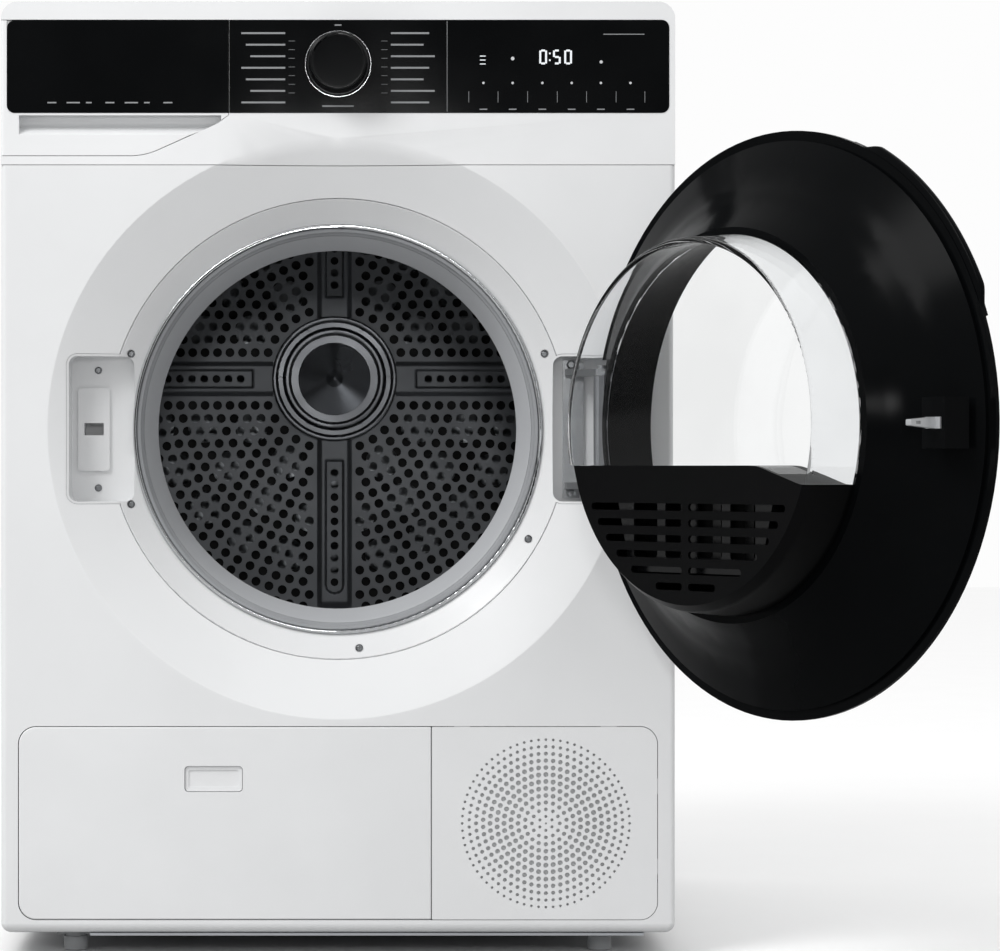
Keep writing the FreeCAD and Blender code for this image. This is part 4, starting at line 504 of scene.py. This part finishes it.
frame_white = finish("frame_white", (238, 239, 240), (234, 235, 236), rough=(0.3, 0.38), relief=0.05)
acrylic = finish("black_acrylic", (10, 11, 12), (13, 14, 15), rough=(0.05, 0.09), relief=0.0,
                 Specular_IOR_Level=0.25)
board_green = finish("board_green", (24, 82, 52), (38, 104, 66), rough=(0.35, 0.5), patch=120.0)
print_grey = finish("print_grey", (150, 152, 154), (140, 142, 144), rough=(0.5, 0.6))
print_white = finish("print_white", (214, 216, 218), (204, 206, 208), rough=(0.5, 0.6))
lamp = finish("display_white", (236, 240, 242), (228, 232, 236), rough=(0.4, 0.5), Emission_Strength=0.2,
              Emission_Color=(0.9, 0.95, 1.0, 1.0))
dress(frame_white, "fascia_frame")
dress(acrylic, "control_glass")
dress(board_green, "control_board")
label_rows = []
for i in range(LABEL_COUNT):
    level = LABEL_TOP - LABEL_STEP * i
    low, high = level - LABEL_HALF, level + LABEL_HALF
    label_rows.append((-LABEL_TO + LEFT_SHORTER * (i % 3), -LABEL_FROM, low, high))
    label_rows.append((LABEL_FROM, LABEL_TO - RIGHT_SHORTER * ((i + 1) % 3), low, high))
    tick = level - (level - KNOB_Z) * TICK_DRAW
    label_rows.append((-TICK_TO, -TICK_FROM, tick - TICK_HALF, tick + TICK_HALF))
    label_rows.append((TICK_FROM, TICK_TO, tick - TICK_HALF, tick + TICK_HALF))
label_rows.append((-0.014, 0.014, 0.7562, 0.7576))      # under the knob
label_rows.append((-0.003, 0.003, 0.8284, 0.8296))      # over the knob
label_rows.append((0.0968, 0.0972, 0.7520, 0.8325))     # the tall rule between knob and display
label_rows += [(x - RULE_HALF, x + RULE_HALF, 0.7602, 0.7700) for x in KEY_RULES]
print_on("printed_labels", bars(label_rows), print_grey)
print_on("printed_key_dots", dots([(x, KEY_DOT_Z, KEY_DOT_R) for x in KEYS]), print_white)
key_lines = [(x - KEY_LINE_HALF, x + KEY_LINE_HALF, 0.7536, 0.7546) for x in KEYS]
print_on("printed_key_lines", bars(key_lines + [(0.2360, 0.2725, 0.8205, 0.8212)]), print_grey)
digits = []
for x, digit in ((0.1790, "0"), (0.1912, "5"), (0.2012, "0")):
    digits += segments(x, DIGIT_LOW, DIGIT_HIGH, digit)
digits += [(0.1877, 0.1891, low, low + 0.0015) for low in (0.7970, 0.8030)]     # the colon
digits += [(0.1262, 0.1312, low, low + 0.0008) for low in (0.8010, 0.7975, 0.7940)]     # the level bars
print_on("display_digits", bars(digits), lamp)
print_on("display_lamps", dots([(0.1553, 0.7992, 0.0016), (0.2340, 0.7962, 0.0014)]), print_white)

# ---------------------------------------------------------------------------------------------
# Programme knob. A black turned knob with a thin bright trim let into the edge of its skirt; it
# snaps onto the switch on the board.
# ---------------------------------------------------------------------------------------------
KNOB_BASE = 0.0296
TRIM_FRONT, TRIM_REAR = FRONT - 0.0058, FRONT - 0.0052
TRIM_TAPER, TRIM_WALL = 0.0001, 0.0007


def lathe(profile, x, z, sides):
    """Surface of revolution about the Y axis through (x, z), from a closed loop of (r, y):
    P(i, a) = (x + r_i cos a, y_i, z + r_i sin a)."""
    profile = np.array(profile, float)
    a = np.arange(sides) * 2 * math.pi / sides
    r, y = profile[:, :1], profile[:, 1:]
    verts = np.stack([x + r * np.cos(a), np.broadcast_to(y, (len(profile), sides)), z + r * np.sin(a)], 2)
    n = len(profile)
    faces = [(i * sides + j, i * sides + (j + 1) % sides, ((i + 1) % n) * sides + (j + 1) % sides,
              ((i + 1) % n) * sides + j) for i in range(n) for j in range(sides)]
    return verts.reshape(-1, 3), faces


knob_black = finish("knob_black", (10, 11, 12), (13, 14, 15), rough=(0.07, 0.1), relief=0.0,
                    Specular_IOR_Level=0.2)
dress(knob_black, "program_knob")
verts, faces = lathe([(KNOB_BASE, TRIM_REAR), (KNOB_BASE - TRIM_TAPER, TRIM_FRONT),
                      (KNOB_BASE - TRIM_WALL, TRIM_FRONT), (KNOB_BASE - TRIM_WALL, TRIM_REAR)],
                     0, KNOB_Z, 96)
add_piece("knob_trim", verts, faces, chrome, "knob")

# ---------------------------------------------------------------------------------------------
# Water tank drawer. A white grip front with a black insert, clipped to a translucent tank that
# slides in a grey sleeve above the drum.
# ---------------------------------------------------------------------------------------------
grip_white = finish("grip_white", (238, 239, 240), (234, 235, 236), rough=(0.28, 0.36), relief=0.05)
tank_milk = finish("tank_milk", (206, 212, 216), (196, 203, 208), rough=(0.3, 0.4), Transmission_Weight=0.35)
dress(grip_white, "drawer_front")
dress(acrylic, "drawer_insert")
dress(tank_milk, "water_tank")
dress(moulded_grey, "tank_sleeve")
MARK_COUNT, MARK_FROM, MARK_STEP, MARK_LONG = 7, -0.2586, 0.0172, (0.0080, 0.0118, 0.0050)
tank_marks = []
for i in range(MARK_COUNT):
    left = MARK_FROM + MARK_STEP * i
    tank_marks.append((left, left + MARK_LONG[i % 3], 0.7594, 0.7606))
print_on("printed_drawer_marks", bars(tank_marks), print_grey, "tank_drawer")

# ---------------------------------------------------------------------------------------------
# Plinth. A white flap with a push latch hides the heat exchanger, and beside it a fixed white
# grille draws in room air through rings of round holes.
# ---------------------------------------------------------------------------------------------
plinth_white = finish("plinth_white", (234, 235, 236), (230, 231, 232), rough=(0.32, 0.4), relief=0.05)
dress(plinth_white, "service_flap", "flap_latch", "vent_grille")
GRILLE_X, GRILLE_Z, SCREEN_R = 0.1849, 0.1188, 0.0795
SCREEN_FRONT, SCREEN_REAR, SCREEN_SIDES = FRONT + 0.0028, FRONT + 0.0034, 96
screen_grey = finish("dust_screen", (196, 197, 198), (188, 189, 190), rough=(0.6, 0.7), relief=0.2)
verts = [(x, y, z) for y in (SCREEN_FRONT, SCREEN_REAR)
         for x, z in circle(GRILLE_X, GRILLE_Z, SCREEN_R, SCREEN_SIDES).tolist()]
turn = [(i, (i + 1) % SCREEN_SIDES) for i in range(SCREEN_SIDES)]
faces = [tuple(range(SCREEN_SIDES)), tuple(range(SCREEN_SIDES, 2 * SCREEN_SIDES))]
faces += [(i, i + SCREEN_SIDES, j + SCREEN_SIDES, j) for i, j in turn]
add_piece("grille_screen", verts, faces, screen_grey, "cabinet", smooth=False)

# ---------------------------------------------------------------------------------------------
# Door. A gloss black ring and a black inner moulding hold a clear pane; a clear hood and a black
# housing carry the lint filter, and a hinge leaf and a steel hook are let into the edge.
# ---------------------------------------------------------------------------------------------
gloss_black = finish("door_gloss", (6, 7, 8), (8, 9, 10), rough=(0.14, 0.2), relief=0.0,
                     Specular_IOR_Level=0.03)
satin_black = finish("door_satin", (3, 4, 4), (5, 5, 6), rough=(0.3, 0.4), relief=0.0,
                     Specular_IOR_Level=0.06)
filter_mould = finish("filter_grey", (24, 25, 27), (20, 21, 23), rough=(0.16, 0.24), relief=0.0,
                      Specular_IOR_Level=0.3)
leaf_grey = finish("leaf_grey", (150, 152, 155), (134, 136, 139), rough=(0.3, 0.42), Metallic=0.7)
hook_grey = finish("hook_grey", (196, 198, 200), (182, 184, 186), rough=(0.25, 0.35), Metallic=0.5)


def clear(name, colour, rough, ior):
    """Clear moulding or glass: full transmission, with a faint patchy haze in the roughness."""
    return finish(name, colour, rough=rough, relief=0.0, Transmission_Weight=1.0, IOR=ior)


window_glass = clear("window_glass", (252, 253, 253), (0.0, 0.02), 1.45)
hood_clear = clear("hood_clear", (246, 247, 248), (0.01, 0.03), 1.22)
dress(gloss_black, "door_ring", "door_liner")
dress(window_glass, "door_glass")
dress(hood_clear, "door_hood")
dress(satin_black, "filter_housing")
dress(filter_mould, "lint_filter")
dress(hook_grey, "door_hook")
dress(leaf_grey, "hinge_leaf")
HINGE = np.array((0.231, -0.307))
OPEN = math.radians(124.6)
DOOR_Z, RIM_R = 0.470, 0.2450
RIM_INSIDE = 0.0001             # how far the twin's rim is drawn inside RIM_R
HOOK_HALF = 0.0045
GRIP_FROM, GRIP_TO, GRIP_RAMP = math.radians(113.0), math.radians(158.5), math.radians(4.5)
GRIP_RISE, GRIP_SOFT, GRIP_ROOT = 0.0062, 0.0010, 0.2432
GRIP_FRONT, GRIP_REAR = -0.3186, -0.3132


def swing(points, angle):
    """Points turned about the vertical hinge line by an angle."""
    out = np.array(points, float)
    c, d = math.cos(angle), math.sin(angle)
    flat = out[:, :2] - HINGE
    out[:, 0] = HINGE[0] + flat[:, 0] * c - flat[:, 1] * d
    out[:, 1] = HINGE[1] + flat[:, 0] * d + flat[:, 1] * c
    return out


def reshape(name, change):
    """Moves the vertices of a welded twin, with the door swung shut while they are moved."""
    mesh = bpy.data.objects[name].data
    flat = np.zeros(len(mesh.vertices) * 3)
    mesh.vertices.foreach_get("co", flat)
    mesh.vertices.foreach_set("co", swing(change(swing(flat.reshape(-1, 3), -OPEN)), OPEN).ravel())
    mesh.update()


def round_rim(points):
    """Draws everything beyond the rim back to it."""
    x, z = points[:, 0], points[:, 2] - DOOR_Z
    share = np.minimum(1.0, (RIM_R - RIM_INSIDE) / np.maximum(np.hypot(x, z), 1e-6))
    points[:, 0], points[:, 2] = x * share, DOOR_Z + z * share
    return points


def slim_hook(points):
    """Keeps the hook within HOOK_HALF of its own middle height."""
    points[:, 2] = DOOR_Z + np.clip(points[:, 2] - DOOR_Z, -HOOK_HALF, HOOK_HALF)
    return points


reshape("door_ring_finish", round_rim)
reshape("door_hook_finish", slim_hook)
angles = np.linspace(GRIP_FROM, GRIP_TO, 90)
lift = np.minimum(angles - GRIP_FROM, GRIP_TO - angles) / GRIP_RAMP
outer = RIM_R + GRIP_RISE * ramp(lift)
section = [(GRIP_ROOT, GRIP_FRONT, 0), (0, GRIP_FRONT, -GRIP_SOFT),
           (0, GRIP_FRONT + 0.3 * GRIP_SOFT, -0.3 * GRIP_SOFT), (0, GRIP_FRONT + GRIP_SOFT, 0),
           (0, GRIP_REAR - GRIP_SOFT, 0), (0, GRIP_REAR, -GRIP_SOFT), (GRIP_ROOT, GRIP_REAR, 0)]
rings = []
for fixed, y, inset in section:
    r = np.full_like(outer, fixed) if fixed else outer + inset
    rings.append(np.stack([r * np.cos(angles), np.full_like(r, y), DOOR_Z + r * np.sin(angles)], 1))
grid = np.array(rings)
count, along = grid.shape[:2]
faces = [(i * along + j, i * along + j + 1, ((i + 1) % count) * along + j + 1, ((i + 1) % count) * along + j)
         for i in range(count) for j in range(along - 1)]
faces.append(tuple(i * along for i in range(count)))
faces.append(tuple(i * along + along - 1 for i in reversed(range(count))))
add_piece("door_grip", swing(grid.reshape(-1, 3), OPEN), faces, gloss_black, "door",
          sharp=50.0)

# ---------------------------------------------------------------------------------------------
# Studio. A plain pale floor under a pale surround, brighter above and dark where the camera
# stands, with one wide lamp high on the left and a weak one beside the camera.
# ---------------------------------------------------------------------------------------------
FLOOR_HALF, FLOOR_Z = 9.0, -0.0005
floor_corners = [(x * FLOOR_HALF, y * FLOOR_HALF, FLOOR_Z) for x, y in ((-1, -1), (1, -1), (1, 1), (-1, 1))]
floor_mesh = bpy.data.meshes.new("studio_floor")
floor_mesh.from_pydata(floor_corners, [], [(0, 1, 2, 3)])
floor = bpy.data.objects.new("studio_floor", floor_mesh)
floor_pale = finish("floor_pale", (253, 253, 253), (252, 252, 252), rough=(0.8, 0.9), relief=0.0)
floor_nodes, floor_links = floor_pale.node_tree.nodes, floor_pale.node_tree.links
tone, looked_at = floor_nodes.new("ShaderNodeMix"), floor_nodes.new("ShaderNodeLightPath")
tone.data_type = "RGBA"
tone.inputs["A"].default_value = linear(176, 176, 176)
floor_links.new(looked_at.outputs["Is Camera Ray"], tone.inputs["Factor"])
for node in list(floor_nodes):
    if node.type == "GROUP":
        floor_links.new(node.outputs["Colour"], tone.inputs["B"])
floor_links.new(tone.outputs["Result"], floor_nodes["Principled BSDF"].inputs["Base Color"])
floor_mesh.materials.append(floor_pale)
bpy.context.scene.collection.objects.link(floor)

world = bpy.data.worlds.new("studio_light")
bpy.context.scene.world = world
world.use_nodes = True
sky = world.node_tree
sky.nodes.clear()
new, link = sky.nodes.new, sky.links.new
path, where, split = new("ShaderNodeLightPath"), new("ShaderNodeTexCoord"), new("ShaderNodeSeparateXYZ")
above, gap, product = new("ShaderNodeMapRange"), new("ShaderNodeMapRange"), new("ShaderNodeMath")
for socket, value in (("From Min", -1.0), ("From Max", 1.0), ("To Min", 0.10), ("To Max", 1.42)):
    above.inputs[socket].default_value = value
gap.interpolation_type = "SMOOTHSTEP"
for socket, value in (("From Min", -0.985), ("From Max", -0.88), ("To Min", 0.05), ("To Max", 1.0)):
    gap.inputs[socket].default_value = value
product.operation = "MULTIPLY"
seen, lit = new("ShaderNodeBackground"), new("ShaderNodeBackground")
seen.inputs["Color"].default_value = (0.982, 0.982, 0.982, 1)
mix, out, through = new("ShaderNodeMixShader"), new("ShaderNodeOutputWorld"), new("ShaderNodeMath")
through.operation = "MAXIMUM"       # what the camera sees, directly or through the glass
link(where.outputs["Generated"], split.inputs["Vector"])
link(split.outputs["Z"], above.inputs["Value"])
link(split.outputs["Y"], gap.inputs["Value"])
link(above.outputs["Result"], product.inputs[0])
link(gap.outputs["Result"], product.inputs[1])
link(product.outputs["Value"], lit.inputs["Strength"])
link(path.outputs["Is Camera Ray"], through.inputs[0])
link(path.outputs["Is Transmission Ray"], through.inputs[1])
link(through.outputs["Value"], mix.inputs["Fac"])
link(lit.outputs["Background"], mix.inputs[1])
link(seen.outputs["Background"], mix.inputs[2])
link(mix.outputs["Shader"], out.inputs["Surface"])
for name, spot, aim, width, watts in (("key", (-2.0, -2.3, 3.0), (0.0, -0.3, 0.45), 1.6, 72.0),
                                      ("fill_in", (0.05, -3.1, 0.86), (0.0, 0.2, 0.5), 0.25, 6.0)):
    light = bpy.data.lights.new(name, "AREA")
    light.size, light.energy = width, watts
    holder = bpy.data.objects.new(name, light)
    holder.location = spot
    holder.rotation_euler = (Vector(aim) - Vector(spot)).to_track_quat("-Z", "Y").to_euler()
    bpy.context.scene.collection.objects.link(holder)
bpy.context.scene.view_settings.view_transform = "Standard"

camera = bpy.data.cameras.new("camera")
camera.sensor_width, camera.lens = 36.0, 121.4
camera.shift_x, camera.shift_y = 0.186, -0.0075
stand = bpy.data.objects.new("camera", camera)
stand.location = (-0.0214, -3.300, 0.435)
stand.rotation_euler = (math.pi / 2, 0.0, 0.0)
bpy.context.scene.collection.objects.link(stand)
bpy.context.scene.camera = stand
